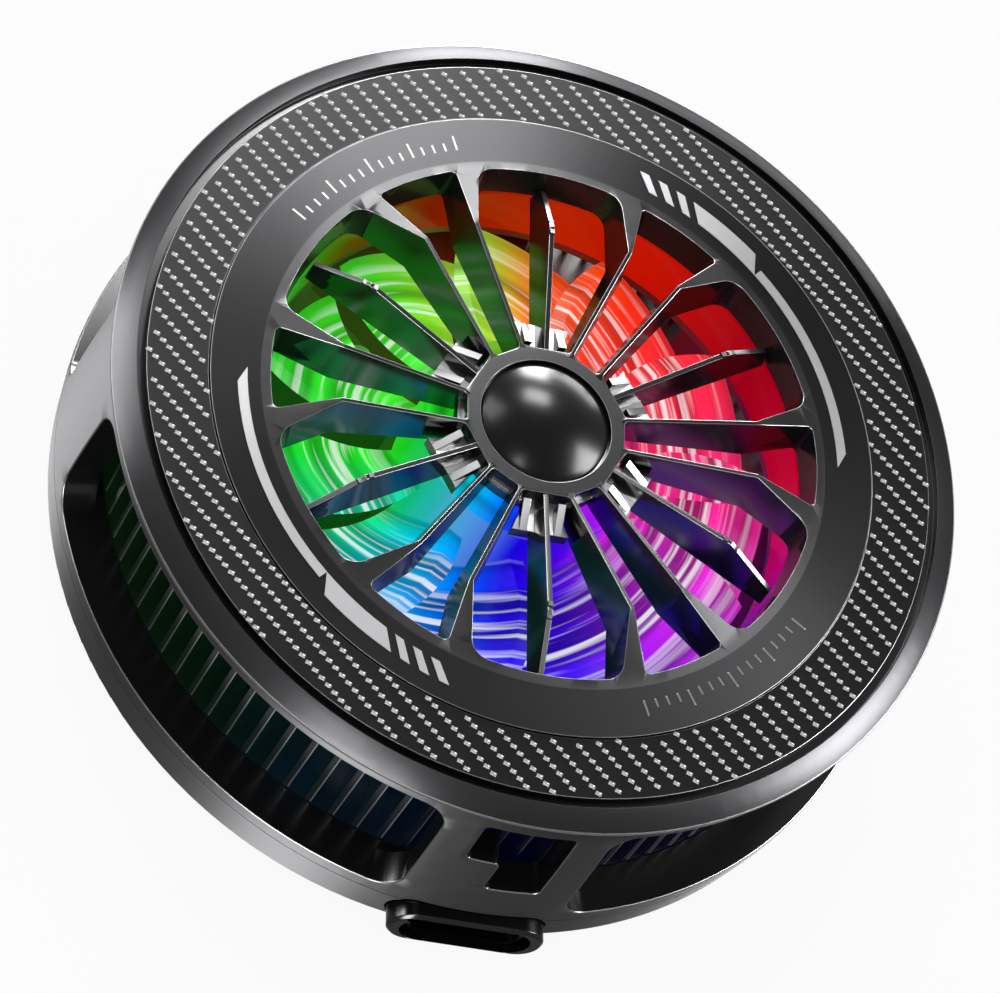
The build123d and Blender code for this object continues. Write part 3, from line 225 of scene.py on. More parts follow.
def build_surface_grain():
    """Fine moulded or blasted grain: a roughness that varies and a bump height."""
    group, take, give = new_group(
        "surface_grain",
        [("Grain Size", "NodeSocketFloat", 4000.0), ("Base Roughness", "NodeSocketFloat", 0.3),
         ("Variation", "NodeSocketFloat", 0.05)],
        [("Roughness", "NodeSocketFloat"), ("Height", "NodeSocketFloat"),
         ("Mask", "NodeSocketFloat")])
    place = group.nodes.new("ShaderNodeTexCoord")
    fine = group.nodes.new("ShaderNodeTexNoise")
    fine.inputs["Detail"].default_value = 3
    group.links.new(place.outputs["Object"], fine.inputs["Vector"])
    group.links.new(take.outputs["Grain Size"], fine.inputs["Scale"])
    broad = group.nodes.new("ShaderNodeTexNoise")
    broad.inputs["Scale"].default_value = 90
    broad.inputs["Detail"].default_value = 4
    group.links.new(place.outputs["Object"], broad.inputs["Vector"])
    both = math_node(group, "ADD", fine.outputs["Fac"], broad.outputs["Fac"])
    swing = math_node(group, "SUBTRACT", both, 1.0)
    scaled = math_node(group, "MULTIPLY", swing, take.outputs["Variation"])
    rough = math_node(group, "ADD", scaled, take.outputs["Base Roughness"], clamp=True)
    group.links.new(rough, give.inputs["Roughness"])
    group.links.new(fine.outputs["Fac"], give.inputs["Height"])
    group.links.new(broad.outputs["Fac"], give.inputs["Mask"])
    return group


def polar_sockets(tree):
    """Angle in turns from 0 to 1 and radius in metres of a point about the fan's axis.

    The heat sink's own frame is read, because the lamps stay still while the fan turns."""
    place = tree.nodes.new("ShaderNodeTexCoord")
    place.object = frame["nodes"]["heat_sink"]
    split = tree.nodes.new("ShaderNodeSeparateXYZ")
    tree.links.new(place.outputs["Object"], split.inputs[0])
    angle = math_node(tree, "ARCTAN2", split.outputs["Y"], split.outputs["X"])
    turns = math_node(tree, "DIVIDE", angle, 2 * math.pi)
    turns = math_node(tree, "FRACT", math_node(tree, "ADD", turns, 1.0))
    x2 = math_node(tree, "POWER", split.outputs["X"], 2.0)
    y2 = math_node(tree, "POWER", split.outputs["Y"], 2.0)
    radius = math_node(tree, "SQRT", math_node(tree, "ADD", x2, y2))
    return turns, radius


# Lamp colours round the cooler: part azimuth in degrees and linear colour
LAMP_COLOURS = (
    (0, (0.95, 0.02, 0.28)), (30, (1.0, 0.02, 0.07)), (60, (1.0, 0.03, 0.006)),
    (80, (0.98, 0.10, 0.01)), (98, (0.40, 0.68, 0.03)), (130, (0.06, 0.80, 0.02)),
    (180, (0.01, 0.80, 0.02)), (200, (0.01, 0.74, 0.16)), (216, (0.0, 0.62, 0.55)),
    (236, (0.0, 0.40, 0.95)), (252, (0.0, 0.10, 0.95)), (264, (0.01, 0.0, 0.95)),
    (290, (0.07, 0.0, 0.92)),
    (312, (0.42, 0.01, 0.92)), (338, (0.85, 0.02, 0.62)))
# Colours of the ring wall round the fan
WALL_COLOURS = (
    (0, (0.85, 0.0, 0.04)), (30, (0.60, 0.0, 0.015)), (60, (1.0, 0.01, 0.0)),
    (85, (0.85, 0.03, 0.0)), (112, (0.35, 0.02, 0.0)), (132, (0.16, 0.12, 0.0)),
    (150, (0.02, 0.50, 0.01)), (182, (0.0, 0.65, 0.01)), (206, (0.0, 0.55, 0.25)),
    (226, (0.0, 0.30, 0.80)), (248, (0.0, 0.08, 0.95)), (272, (0.01, 0.0, 0.85)),
    (300, (0.06, 0.0, 0.80)), (322, (0.28, 0.0, 0.60)), (342, (0.70, 0.0, 0.22)))


def build_colour_wheel(name, colours):
    """Light colours by direction from the fan's axis."""
    group, take, give = new_group(name, [("Turn", "NodeSocketFloat", 0.0)],
                                  [("Color", "NodeSocketColor")])
    own_turns = math_node(group, "ADD", polar_sockets(group)[0], take.outputs["Turn"])
    turns = math_node(group, "FRACT", math_node(group, "ADD", own_turns, 1.0))
    ramp = group.nodes.new("ShaderNodeValToRGB")
    ramp.color_ramp.interpolation = "LINEAR"
    stops = list(colours) + [(360, colours[0][1])]
    ramp.color_ramp.elements[0].position = stops[0][0] / 360
    ramp.color_ramp.elements[0].color = (*stops[0][1], 1)
    ramp.color_ramp.elements[1].position = stops[-1][0] / 360
    ramp.color_ramp.elements[1].color = (*stops[-1][1], 1)
    for degrees, colour in stops[1:-1]:
        stop = ramp.color_ramp.elements.new(degrees / 360)
        stop.color = (*colour, 1)
    group.links.new(turns, ramp.inputs["Fac"])
    group.links.new(ramp.outputs["Color"], give.inputs["Color"])
    return group


def build_light_streaks():
    """Concentric arcs of light on the blades, strongest half way out."""
    streak_start, streak_full = 0.51, 0.64
    middle_reach, middle_width = 14.5 * MM, 6.5 * MM
    group, take, give = new_group(
        "light_streaks",
        [("Rings", "NodeSocketFloat", 1500.0), ("Breaks", "NodeSocketFloat", 5.0)],
        [("Streaks", "NodeSocketFloat"), ("Bands", "NodeSocketFloat")])
    turns, radius = polar_sockets(group)
    swirl = math_node(group, "MULTIPLY", turns, take.outputs["Breaks"])
    rings = math_node(group, "MULTIPLY", radius, take.outputs["Rings"])
    joined = group.nodes.new("ShaderNodeCombineXYZ")
    group.links.new(swirl, joined.inputs["X"])
    group.links.new(rings, joined.inputs["Y"])
    fine = group.nodes.new("ShaderNodeTexNoise")
    fine.inputs["Scale"].default_value = 1.0
    fine.inputs["Detail"].default_value = 2
    group.links.new(joined.outputs[0], fine.inputs["Vector"])
    sharp = spread_range(group, fine.outputs["Fac"], streak_start, streak_full)
    off_middle = math_node(group, "ABSOLUTE", math_node(group, "SUBTRACT", radius, middle_reach))
    middle = spread_range(group, off_middle, middle_width, 0.0)
    streaks = math_node(group, "MULTIPLY", sharp, middle, clamp=True)
    broad = group.nodes.new("ShaderNodeTexNoise")
    broad.inputs["Scale"].default_value = 0.35
    broad.inputs["Detail"].default_value = 1
    group.links.new(joined.outputs[0], broad.inputs["Vector"])
    group.links.new(streaks, give.inputs["Streaks"])
    group.links.new(broad.outputs["Fac"], give.inputs["Bands"])
    return group


GRAIN = build_surface_grain()
LAMP_WHEEL = build_colour_wheel("lamp_wheel", LAMP_COLOURS)
WALL_WHEEL = build_colour_wheel("wall_wheel", WALL_COLOURS)
STREAKS = build_light_streaks()


# Materials

def start_material(name):
    """An empty node material; returns it, its tree and its Principled shader."""
    material = bpy.data.materials.new(name)
    material.use_nodes = True
    return material, material.node_tree, material.node_tree.nodes["Principled BSDF"]


def place_group(tree, group, **values):
    """A shared effect placed in a material with its own values."""
    node = tree.nodes.new("ShaderNodeGroup")
    node.node_tree = group
    for label, value in values.items():
        node.inputs[label.replace("_", " ")].default_value = value
    return node


def add_bump(tree, shader, height, distance):
    """A bump of the surface, given by a height and the distance it stands for."""
    bump = tree.nodes.new("ShaderNodeBump")
    bump.inputs["Distance"].default_value = distance
    tree.links.new(height, bump.inputs["Height"])
    tree.links.new(bump.outputs["Normal"], shader.inputs["Normal"])


def tone_by_mask(tree, shader, mask, dark, light):
    """Base colour that drifts between two close tones."""
    tree.links.new(colour_mix(tree, dark, light, mask), shader.inputs["Base Color"])


def add_painted_lamp_light(tree, shader, inside, outside):
    """Painted light: a faint glow in the lamps' colours that stands in for their light falling on
    the surface, with its strength below the fan and at the windows.
    """
    fan_reach, window_reach = 22.0 * MM, 25.5 * MM
    wheel = place_group(tree, LAMP_WHEEL, Turn=-0.05)
    glow = spread_range(tree, polar_sockets(tree)[1], fan_reach, window_reach, inside, outside)
    faded = colour_mix(tree, wheel.outputs["Color"], glow, blend="MULTIPLY")
    tree.links.new(faded, shader.inputs["Emission Color"])
    shader.inputs["Emission Strength"].default_value = 1.0


def plain_finish(name, dark, light, roughness, metallic=0.0, grain=4000.0, variation=0.06,
                 bump=0.00001, spun=0.0, painted_lamp_light=None, gleam=0.5):
    """A moulded, machined or plated finish with its grain.

    spun is how far its gleam is drawn out by turning marks. The lamp light argument gives the
    strengths of a faint glow in the lamps' colours below the fan and at the windows: painted light
    standing in for the lamps' light falling on it."""
    metal_gleam_tint = (0.5, 0.5, 0.5, 1)
    quarter_turn = 0.25
    material, tree, shader = start_material(name)
    grainy = place_group(tree, GRAIN, Grain_Size=grain, Base_Roughness=roughness,
                         Variation=variation)
    tone_by_mask(tree, shader, grainy.outputs["Mask"], dark, light)
    tree.links.new(grainy.outputs["Roughness"], shader.inputs["Roughness"])
    if bump:
        add_bump(tree, shader, grainy.outputs["Height"], bump)
    if painted_lamp_light:
        add_painted_lamp_light(tree, shader, *painted_lamp_light)
    shader.inputs["Metallic"].default_value = metallic
    if metallic > 0.5:
        shader.inputs["Specular Tint"].default_value = metal_gleam_tint
    shader.inputs["Specular IOR Level"].default_value = gleam
    if spun:
        shader.inputs["Anisotropic"].default_value = spun
        shader.inputs["Anisotropic Rotation"].default_value = quarter_turn
        tangent = tree.nodes.new("ShaderNodeTangent")
        tangent.direction_type = "RADIAL"
        tangent.axis = "Z"
        tree.links.new(tangent.outputs[0], shader.inputs["Tangent"])
    return material


def lit_finish(name, wheel, dull, strength, streaky, white_share, roughness=0.35, gleam=0.08):
    """Milky plastic that glows in the lamps' colours. On the diffuser and the lamp lenses this is
    their own light; on the fan blades it is painted light that stands in for the lamps' light
    falling on them.

    dull is the share of them in its own colour. white_share is how white its streaks are; on the
    turning fan blades the streaks are painted highlights."""
    band_start, band_full, band_shade = 0.35, 0.65, 0.3
    material, tree, shader = start_material(name)
    shader.inputs["Roughness"].default_value = roughness
    shader.inputs["Specular IOR Level"].default_value = gleam
    colour = place_group(tree, wheel).outputs["Color"]
    dim = colour_mix(tree, colour, (dull, dull, dull), blend="MULTIPLY")
    tree.links.new(dim, shader.inputs["Base Color"])
    if streaky:
        streaks = place_group(tree, STREAKS)
        band_tone = spread_range(tree, streaks.outputs["Bands"], band_start, band_full,
                                 band_shade, 1.0)
        banded = colour_mix(tree, colour, band_tone, blend="MULTIPLY")
        share = math_node(tree, "MULTIPLY", streaks.outputs["Streaks"], white_share)
        colour = colour_mix(tree, banded, (1, 1, 1), share)
    tree.links.new(colour, shader.inputs["Emission Color"])
    shader.inputs["Emission Strength"].default_value = strength
    return material


BLACK = (0.006, 0.006, 0.0065)
finishes = {
    "black_gloss": plain_finish("black_gloss", (0.036, 0.036, 0.037), (0.042, 0.042, 0.043), 0.6,
                                metallic=1.0, variation=0.02, bump=0.0, spun=1.0),
    "bezel_dark_metal": plain_finish("bezel_dark_metal", (0.016, 0.016, 0.017),
                                     (0.022, 0.022, 0.023), 0.34, metallic=1.0, variation=0.02,
                                     bump=0.0, spun=0.9),
    "rim_satin": plain_finish("rim_satin", (0.008, 0.008, 0.0083), (0.011, 0.011, 0.0114), 0.30,
                              metallic=1.0, variation=0.02, bump=0.000001, spun=0.75),
    # Painted light: a lighter copy of the rim's satin for the sloped cone round the openings
    "cone_painted_light": plain_finish("cone_painted_light", (0.015, 0.015, 0.0155), (0.019, 0.019, 0.0195), 0.32,
                               metallic=1.0, variation=0.03, bump=0.000001, spun=0.75),
    "hub_polish": plain_finish("hub_polish", (0.02, 0.02, 0.0205), (0.025, 0.025, 0.0258), 0.24,
                               metallic=1.0, variation=0.002, bump=0.0),
    # Painted shade: a deeper black for inner walls, grooves and the joint, darker than the outer
    # faces of the same parts
    "painted_shade_black": plain_finish("painted_shade_black", BLACK, (0.01, 0.01, 0.011), 0.2, variation=0.02,
                               bump=0.0, gleam=0.18),
    "spoke_side": plain_finish("spoke_side", (0.15, 0.15, 0.15), (0.18, 0.18, 0.18), 0.16,
                               metallic=1.0, variation=0.01, bump=0.0),
    "rib_polish": plain_finish("rib_polish", (0.05, 0.05, 0.0515), (0.07, 0.07, 0.072), 0.3,
                               metallic=1.0, variation=0.04, bump=0.000001),
    # Painted highlight: a bright grey for the gusset tops at the hub and the fins' outer edges
    "painted_highlight_grey": plain_finish("painted_highlight_grey", (0.22, 0.22, 0.225), (0.3, 0.3, 0.305), 0.3,
                                metallic=1.0, variation=0.04, bump=0.0),
    # Painted highlight: a lighter grey on rounded edges, where lines of light fall
    "painted_edge_highlight": plain_finish("painted_edge_highlight", (0.06, 0.06, 0.0615), (0.09, 0.09, 0.092), 0.3,
                              metallic=1.0, variation=0.04, bump=0.0),
    "carbon_weave": plain_finish("carbon_weave", (0.003, 0.003, 0.0032), (0.005, 0.005, 0.0054),
                                 0.35, variation=0.06, bump=0.000003, gleam=0.04),
    "bead_grey": plain_finish("bead_grey", (0.05, 0.05, 0.05), (0.08, 0.08, 0.08), 0.55,
                              metallic=0.2, variation=0.08, bump=0.000002),
    # Painted glint: the bright points on the beads
    "painted_bead_glint": plain_finish("painted_bead_glint", (0.32, 0.32, 0.32), (0.4, 0.4, 0.4), 0.5,
                               metallic=0.2, variation=0.05, bump=0.0),
    "cap_gloss": plain_finish("cap_gloss", BLACK, (0.008, 0.008, 0.009), 0.22, variation=0.01,
                              bump=0.0, gleam=0.06),
    "foil_silver": plain_finish("foil_silver", (0.11, 0.11, 0.113), (0.15, 0.15, 0.153), 0.36,
                                metallic=0.9, variation=0.05, bump=0.000002, spun=0.6),
    "print_white": plain_finish("print_white", (0.86, 0.86, 0.86), (0.92, 0.92, 0.92), 0.5,
                                variation=0.05, bump=0.0),
    "print_dark": plain_finish("print_dark", BLACK, (0.01, 0.01, 0.011), 0.4, variation=0.05,
                               bump=0.0),
    # Painted light: the fan blades glow in the lamps' colours with white streaks, standing in for
    # the lamps' light on the turning blades
    "fan_milky": lit_finish("fan_milky", LAMP_WHEEL, 0.08, 1.05, True, 0.7),
    "diffuser_clear": lit_finish("diffuser_clear", WALL_WHEEL, 0.05, 0.5, False, 0.0, 0.15),
    "lamp_lens": lit_finish("lamp_lens", LAMP_WHEEL, 0.3, 3.0, False, 0.0, 0.2),
    "board_green": plain_finish("board_green", (0.01, 0.05, 0.03), (0.015, 0.08, 0.045), 0.45),
    "chip_black": plain_finish("chip_black", (0.012, 0.012, 0.012), (0.02, 0.02, 0.02), 0.5),
    "pad_grey": plain_finish("pad_grey", (0.20, 0.22, 0.25), (0.26, 0.28, 0.31), 0.75,
                             grain=2500.0, bump=0.00003),
    "grip_black": plain_finish("grip_black", (0.012, 0.012, 0.012), (0.02, 0.02, 0.02), 0.7,
                               grain=3000.0, bump=0.00002),
    "plate_aluminium": plain_finish("plate_aluminium", (0.55, 0.56, 0.58), (0.65, 0.66, 0.68),
                                    0.35, metallic=1.0, spun=0.5),
    # Fins: painted light in the lamps' colours, below the fan and at the windows
    "fin_black": plain_finish("fin_black", (0.008, 0.008, 0.009), (0.014, 0.014, 0.015), 0.25,
                              metallic=0.1, variation=0.05, bump=0.000001, gleam=0.15,
                              painted_lamp_light=(0.06, 0.006)),
    "cell_ceramic": plain_finish("cell_ceramic", (0.75, 0.75, 0.72), (0.82, 0.82, 0.8), 0.5),
    "cell_alloy": plain_finish("cell_alloy", (0.2, 0.2, 0.22), (0.28, 0.28, 0.3), 0.4,
                               metallic=0.8),
    "foam_dark": plain_finish("foam_dark", (0.02, 0.02, 0.02), (0.035, 0.035, 0.035), 0.9,
                              grain=1500.0, bump=0.00008),
    "magnet_plate": plain_finish("magnet_plate", (0.55, 0.55, 0.56), (0.65, 0.65, 0.66), 0.2,
                                 metallic=1.0),
    "steel_plain": plain_finish("steel_plain", (0.42, 0.42, 0.44), (0.52, 0.52, 0.54), 0.3,
                                metallic=1.0),
    "collar_gloss": plain_finish("collar_gloss", (0.01, 0.01, 0.0105), (0.015, 0.015, 0.0155), 0.2,
                                 metallic=0.8, variation=0.03, bump=0.0),
    # Fan frame: painted light in the lamps' colours, below the fan
    "frame_black": plain_finish("frame_black", (0.012, 0.012, 0.012), (0.018, 0.018, 0.018),
                                0.4, painted_lamp_light=(0.08, 0.005)),
    "bearing_brass": plain_finish("bearing_brass", (0.5, 0.35, 0.15), (0.6, 0.42, 0.2), 0.35,
                                  metallic=1.0),
    "washer_white": plain_finish("washer_white", (0.7, 0.7, 0.68), (0.78, 0.78, 0.76), 0.5),
    "magnet_black": plain_finish("magnet_black", (0.03, 0.03, 0.03), (0.045, 0.045, 0.045),
                                 0.5, metallic=0.5),
    "coil_copper": plain_finish("coil_copper", (0.55, 0.22, 0.08), (0.7, 0.3, 0.12), 0.3,
                                metallic=1.0, grain=6000.0, bump=0.00004),
    "lead_red_black": plain_finish("lead_red_black", (0.2, 0.01, 0.01), (0.28, 0.02, 0.02),
                                   0.5),
}


# Pieces

def add_piece(name, mesh, body):
    """Puts a mesh in the scene as a piece that rides on a body."""
    piece = bpy.data.objects.new(name, mesh)
    bpy.context.scene.collection.objects.link(piece)
    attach(piece, body)
    return piece


# How the CAD shapes are dressed: the gap between points that are one, then angles in
# degrees: of faces that are one plane, of edges to round, and of edges shaded as sharp
JOIN_GAP = 0.0002 * MM
FLAT_ANGLE = 0.2
ROUNDED_ANGLE = 28
SHARP_ANGLE = 40


def paint_face(face, finish, names):
    """Gives a face a finish, which joins the piece's list of finishes when it is new."""
    if finish:
        if finish not in names:
            names.append(finish)
        face.material_index = names.index(finish)


def crisp_copy(node, name, bevel, edge, segments=2, tone=None, edge_tone=None, from_reach=0.0):
    """The CAD node's shape with its edges rounded, as a piece that replaces the node.

    tone names the finish of a face by its middle and normal, or None for the node's own.
    edge_tone does the same for the rounded edges. Edges nearer the axis than from_reach
    stay as they are."""
    source = frame["nodes"][node].data
    slot = record_slots[node]
    names = [slot, edge]
    bm = bmesh.new()
    bm.from_mesh(source)
    bmesh.ops.remove_doubles(bm, verts=bm.verts, dist=JOIN_GAP)
    bmesh.ops.dissolve_limit(bm, angle_limit=math.radians(FLAT_ANGLE), verts=bm.verts,
                             edges=bm.edges, delimit=set())
    sharp = [e for e in bm.edges
             if e.is_manifold and e.calc_face_angle() > math.radians(ROUNDED_ANGLE)
             and min(math.hypot(v.co.x, v.co.y) for v in e.verts) >= from_reach]
    for face in bm.faces:
        face.smooth = True
        face.material_index = 0
        if tone:
            paint_face(face, tone(face.calc_center_median(), face.normal), names)
    if bevel:
        bmesh.ops.bevel(bm, geom=sharp, offset=bevel, offset_type="OFFSET", segments=segments,
                        profile=0.5, affect="EDGES", clamp_overlap=False, material=1)
    if edge_tone:
        for face in bm.faces:
            if face.material_index == 1:
                paint_face(face, edge_tone(face.calc_center_median()), names)
    mesh = bpy.data.meshes.new(name)
    bm.to_mesh(mesh)
    bm.free()
    if "custom_normal" in mesh.attributes:
        mesh.attributes.remove(mesh.attributes["custom_normal"])
    for finish in names:
        mesh.materials.append(finishes[finish])
    mesh.set_sharp_from_angle(angle=math.radians(SHARP_ANGLE))
    piece = add_piece(name, mesh, node_body[node])
    weigh = piece.modifiers.new("even_shading", "WEIGHTED_NORMAL")
    weigh.keep_sharp = True
    weigh.weight = 60
    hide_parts(node)


# Finishes by face: distances from the axis, and the tops of the grille and the barrel
KINK_REACH = 16.3 * MM
HUB_REACH = 6.4 * MM
SPOKE_END = 19.0 * MM
GUSSET_END = 9.6 * MM
BAND_INNER = 31.4 * MM
wheel_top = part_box("front_grille")[1][2]
shell_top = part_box("side_shell")[1][2]


def grille_tone(middle, normal):
    """Dark mirror spoke sides, painted shade in black on the other walls, a cone round the
    openings in a lighter copy of the rim's satin that is painted light, and a polished hub ring.
    """
    side_rise, flat_rise = 0.6, 0.995    # the upward part of a face's direction
    reach = math.hypot(middle.x, middle.y)
    if abs(normal.z) < side_rise:
        return "spoke_side" if HUB_REACH < reach < SPOKE_END else "painted_shade_black"
    if reach < HUB_REACH:
        return "hub_polish"
    if normal.z < flat_rise and reach > KINK_REACH - 1.0 * MM:
        return "cone_painted_light"
    return None


def rib_tone(middle, normal):
    """Dark mirror sides within the spokes' reach, gusset tops at the hub in a bright grey that is
    a painted highlight, a polished top outside the crest, and painted shade in black on the other
    faces.
    """
    side_rise, gusset_rise = 0.7, 0.35    # the upward part of a face's direction
    crest_margin = 3.0 * MM
    reach = math.hypot(middle.x, middle.y)
    if reach < GUSSET_END and normal.z > gusset_rise:
        return "painted_highlight_grey"
    if abs(normal.z) < side_rise:
        return "spoke_side" if reach < SPOKE_END else "painted_shade_black"
    outer_top = (normal.z > 0 and reach > KINK_REACH - crest_margin
                 and middle.z > wheel_top - crest_margin)
    return None if outer_top else "painted_shade_black"


def barrel_tone(middle, normal):
    """Painted shade: black walls inside the windows and the vent."""
    outer_face = 0.9    # the least outward part of the direction of a face on the outside
    reach = max(math.hypot(middle.x, middle.y), 0.001 * MM)
    outward = (middle.x * normal.x + middle.y * normal.y) / reach
    return None if outward > outer_face else "painted_shade_black"


def barrel_edge_tone(middle):
    """Painted shade: a black line where the barrel meets the band."""
    line_height = 0.4 * MM
    return "painted_shade_black" if middle.z > shell_top - line_height else None


def bezel_tone(middle, normal):
    """Painted shade: a black groove and plate inside the polished band."""
    flat_rise = 0.98    # the upward part of a flat face's direction
    reach = math.hypot(middle.x, middle.y)
    return "painted_shade_black" if normal.z > flat_rise or reach < BAND_INNER else None


place_camera()
studio_world()
pale_floor()

# Lamps: azimuth and elevation in degrees, distance, width and height in metres, brightness
softbox("rim_panel", 80, 45, 0.22, 0.06, 0.045, 105, diffuse=False)
softbox("fill_panel", 100, 55, 1.2, 0.8, 0.8, 3.0, gloss=False)
softbox("far_strip", 80, 12, 0.8, 0.18, 0.32, 120, diffuse=False)
softbox("left_strip", 131, 45, 0.8, 0.24, 0.30, 27, diffuse=False)
softbox("far_side_strip", 60, 6, 0.8, 0.40, 0.24, 26, diffuse=False)
softbox("low_left_strip", 152, 16, 0.8, 0.40, 0.60, 34, diffuse=False)
softbox("front_strip", 243, 72, 0.8, 0.08, 0.16, 64, diffuse=False)
softbox("low_front_strip", 248, 16, 0.8, 0.32, 0.80, 56, diffuse=False)
softbox("right_strip", 2, 37, 0.8, 0.30, 0.34, 105, diffuse=False)


# Nodes that look darker than their slot: the plated shell and the tongue of the socket
NODE_FINISHES = {"socket_shell": "collar_gloss", "socket_tongue": "chip_black"}
for node, piece in frame["nodes"].items():
    piece.data.materials.clear()
    piece.data.materials.append(finishes[NODE_FINISHES.get(node, record_slots[node])])

crisp_copy("bezel_ring", "polished_bezel", 0.05 * MM, edge="bezel_dark_metal", tone=bezel_tone)
# The rounded edges of the carbon ring, grille, ribs and barrel take a lighter grey: a painted
# highlight
crisp_copy("carbon_trim_ring", "carbon_ring", 0.06 * MM, edge="painted_edge_highlight")
crisp_copy("front_grille", "spoked_grille", 0.045 * MM, edge="painted_edge_highlight", tone=grille_tone)
crisp_copy("rib_star", "bright_ribs", 0.03 * MM, edge="painted_edge_highlight", tone=rib_tone)
crisp_copy("hub_cap", "domed_cap", 0.03 * MM, edge="cap_gloss")
crisp_copy("side_shell", "barrel_shell", 0.10 * MM, edge="painted_edge_highlight", segments=3, tone=barrel_tone,
           edge_tone=barrel_edge_tone, from_reach=32.4 * MM)
crisp_copy("base_cover", "base_dish", 0.0, edge="black_gloss")
crisp_copy("port_frame", "socket_collar", 0.05 * MM, edge="collar_gloss")


# Small trim of the face, a painted shadow in the joint and painted highlights on the fins

def directions_at(angle):
    """Unit vectors at an angle round the axis: outward, and sideways from it."""
    outward = Vector((math.cos(angle), math.sin(angle), 0))
    return outward, Vector((-outward.y, outward.x, 0))


def add_trim(bm, name, slot, *looks):
    """Makes a piece of the housing from the trim that was built, with its finishes."""
    mesh = bpy.data.meshes.new(name)
    bm.to_mesh(mesh)
    bm.free()
    for look in looks:
        mesh.materials.append(finishes[look])
    add_piece(name, mesh, "housing")


def raised_key(bm, centre, side_a, side_b, length, width, foot, rise, draw, material=0):
    """A small four-sided key that stands on a height; draw is its top's share of its foot."""
    low, high = [], []
    for a, b in ((-1, -1), (1, -1), (1, 1), (-1, 1)):
        spot = centre + side_a * (a * length / 2) + side_b * (b * width / 2)
        low.append(bm.verts.new((spot.x, spot.y, foot)))
        spot = centre + side_a * (a * length * draw / 2) + side_b * (b * width * draw / 2)
        high.append(bm.verts.new((spot.x, spot.y, foot + rise)))
    faces = [bm.faces.new(high), bm.faces.new(list(reversed(low)))]
    for k in range(4):
        faces.append(bm.faces.new((low[k], low[(k + 1) % 4], high[(k + 1) % 4], high[k])))
    for face in faces:
        face.material_index = material


def carbon_beads():
    """Rows of small grey beads on the carbon ring, each with a bright point that is a painted
    glint.
    """
    ring_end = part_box("carbon_trim_ring")[1]
    outer, top = ring_end[0], ring_end[2]
    rim_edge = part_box("front_grille")[1][0]
    margin = 0.20 * MM
    row_pitch, bead_pitch = 1.3825 * MM, 0.7067 * MM
    row_start, bead_start = 0.05 * MM, 0.282 * MM
    length, width, rise, sunk = 0.50 * MM, 0.33 * MM, 0.09 * MM, 0.01 * MM
    glint_along, glint_across = 0.10 * MM, 0.04 * MM
    glint_length, glint_width, glint_rise = 0.13 * MM, 0.11 * MM, 0.025 * MM
    glint_sunk = 0.005 * MM
    along, across = directions_at(math.radians(-46))
    side_a, side_b = directions_at(math.radians(-20))
    bm = bmesh.new()
    rows = int(outer / row_pitch) + 1
    steps = int(outer / bead_pitch) + 1
    for row in range(-rows, rows + 1):
        for step in range(-steps, steps + 1):
            centre = (across * (row * row_pitch + row_start)
                      + along * (step * bead_pitch + bead_start))
            reach = centre.length
            if reach > outer - margin or reach < rim_edge + margin:
                continue
            raised_key(bm, centre, side_a, side_b, length, width, top - sunk, rise + sunk,
                       draw=0.6)
            # Painted glint: a small bright key at the bead's corner
            glint = centre + side_a * glint_along + side_b * glint_across
            raised_key(bm, glint, side_a, side_b, glint_length, glint_width,
                       top + rise - glint_sunk, glint_rise, draw=0.5, material=1)
    add_trim(bm, "carbon_beads", "carbon_weave", "bead_grey", "painted_bead_glint")


def rib_knobs():
    """Two small bright knobs on the crest of each of the six ribs, either side of the kink."""
    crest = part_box("rib_star")[1][2]
    ribs, first_rib = 6, 30
    knob_width, knob_rise = 0.44 * MM, 0.26 * MM
    knobs = ((0.45, 0.55, 0.42), (-0.42, 0.45, 0.18))    # shift outward, length, drop
    bm = bmesh.new()
    for rib in range(ribs):
        outward, side = directions_at(math.radians(first_rib + 360 / ribs * rib))
        for shift, length, drop in knobs:
            middle = outward * (KINK_REACH + shift * MM)
            raised_key(bm, middle, outward, side, length * MM, knob_width, crest - drop * MM,
                       knob_rise, draw=0.8)
    add_trim(bm, "rib_knobs", "rib_polish", "rib_polish")


def gauge_ticks(name, middle_angle, finish):
    """A plain printed row of fine marks on the rim, longer at every fourth."""
    rim_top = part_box("foil_stripes")[0][2]
    ticks_each_side, tick_step = 8, 2.3
    long_tick, short_tick, tick_width = 1.25 * MM, 0.7 * MM, 0.16 * MM
    tick_start = 23.2 * MM
    sunk, rise = 0.002 * MM, 0.012 * MM
    bm = bmesh.new()
    for tick in range(-ticks_each_side, ticks_each_side + 1):
        outward, side = directions_at(math.radians(middle_angle + tick_step * tick))
        length = long_tick if tick % 4 == 0 else short_tick
        middle = outward * (tick_start + length / 2)
        raised_key(bm, middle, outward, side, length, tick_width, rim_top - sunk, rise,
                   draw=0.95)
    add_trim(bm, name, "foil_silver", finish)


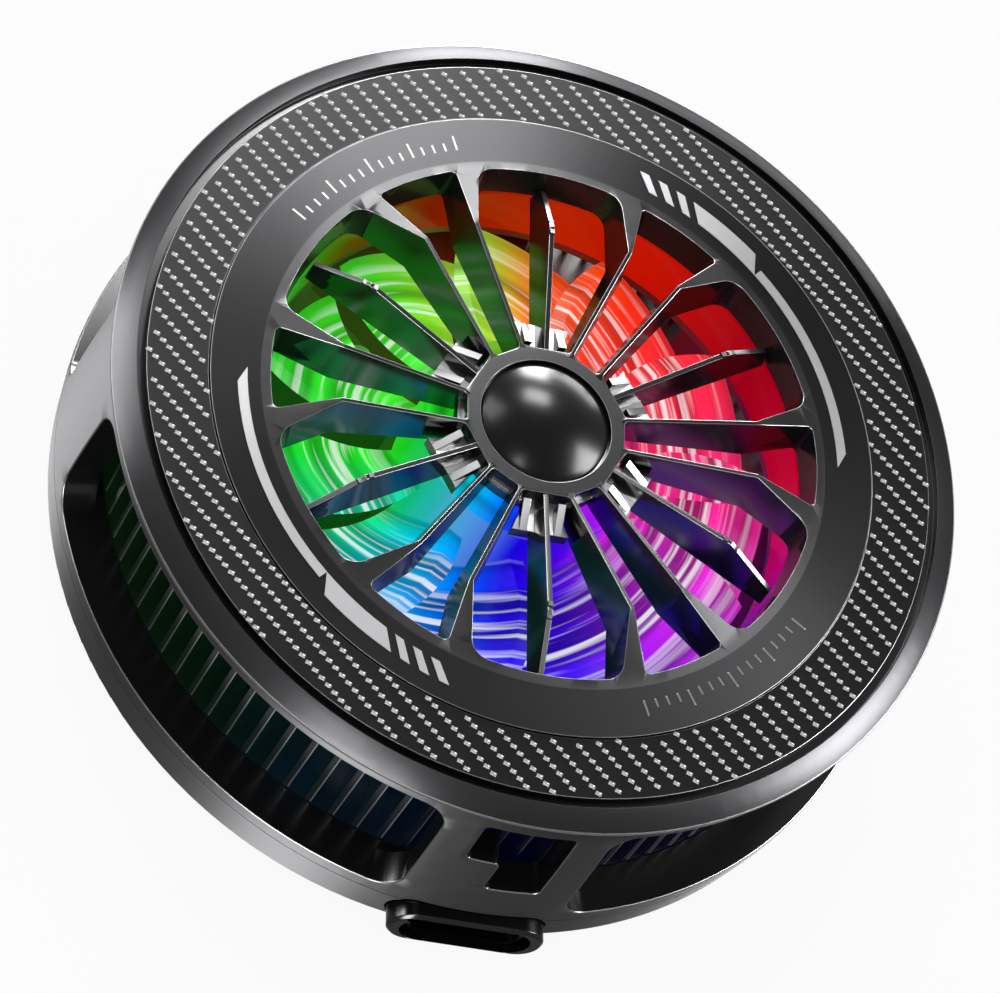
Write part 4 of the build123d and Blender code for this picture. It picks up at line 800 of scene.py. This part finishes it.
def painted_shadow_ring():
    """Painted shadow: a thin black ring in the joint between the barrel and the polished band,
    where the gap's shade falls.
    """
    reach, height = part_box("bezel_ring")[1][0], shell_top
    inner, shoulder, outer = -0.5, 0.01, 0.03    # past the band's edge
    foot, low_edge, high_edge, head = -0.12, -0.08, 0.10, 0.14    # over the barrel's top
    section = ((inner, foot), (shoulder, foot), (outer, low_edge), (outer, high_edge),
               (shoulder, head), (inner, head))
    steps = 256
    bm = bmesh.new()
    rings = []
    for step in range(steps):
        angle = 2 * math.pi * step / steps
        rings.append([bm.verts.new(((reach + r * MM) * math.cos(angle),
                                    (reach + r * MM) * math.sin(angle), height + z * MM))
                      for r, z in section])
    for step in range(steps):
        here, there = rings[step], rings[(step + 1) % steps]
        for corner in range(len(section)):
            after = (corner + 1) % len(section)
            strip = bm.faces.new((here[corner], there[corner], there[after], here[after]))
            strip.smooth = True
    bmesh.ops.recalc_face_normals(bm, faces=bm.faces)
    add_trim(bm, "painted_shadow_ring", "black_gloss", "print_dark")


def painted_fin_highlights():
    """A painted highlight: a thin bright line down the outer edge of each fin of the heat sink."""
    sink_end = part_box("heat_sink")[1]
    reach, head = sink_end[0], sink_end[2]
    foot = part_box("side_shell")[0][2] + 1.4 * MM    # just over the sill
    fins = 96
    line_depth, line_width, line_sunk = 0.09 * MM, 0.11 * MM, 0.02 * MM
    line_shift = 0.2 * MM    # from the fin's middle towards its side
    bm = bmesh.new()
    for fin in range(fins):
        outward, side = directions_at(2 * math.pi * fin / fins)
        middle = outward * (reach - line_sunk) + side * line_shift
        raised_key(bm, middle, outward, side, line_depth, line_width, foot, head - foot,
                   draw=0.6)
    add_trim(bm, "painted_fin_highlights", "fin_black", "painted_highlight_grey")


carbon_beads()
rib_knobs()
painted_shadow_ring()
painted_fin_highlights()
gauge_ticks("upper_gauge_ticks", 127, "print_white")
gauge_ticks("lower_gauge_ticks", 307, "print_dark")


# View transform

scene = bpy.context.scene
scene.view_settings.view_transform = "Standard"
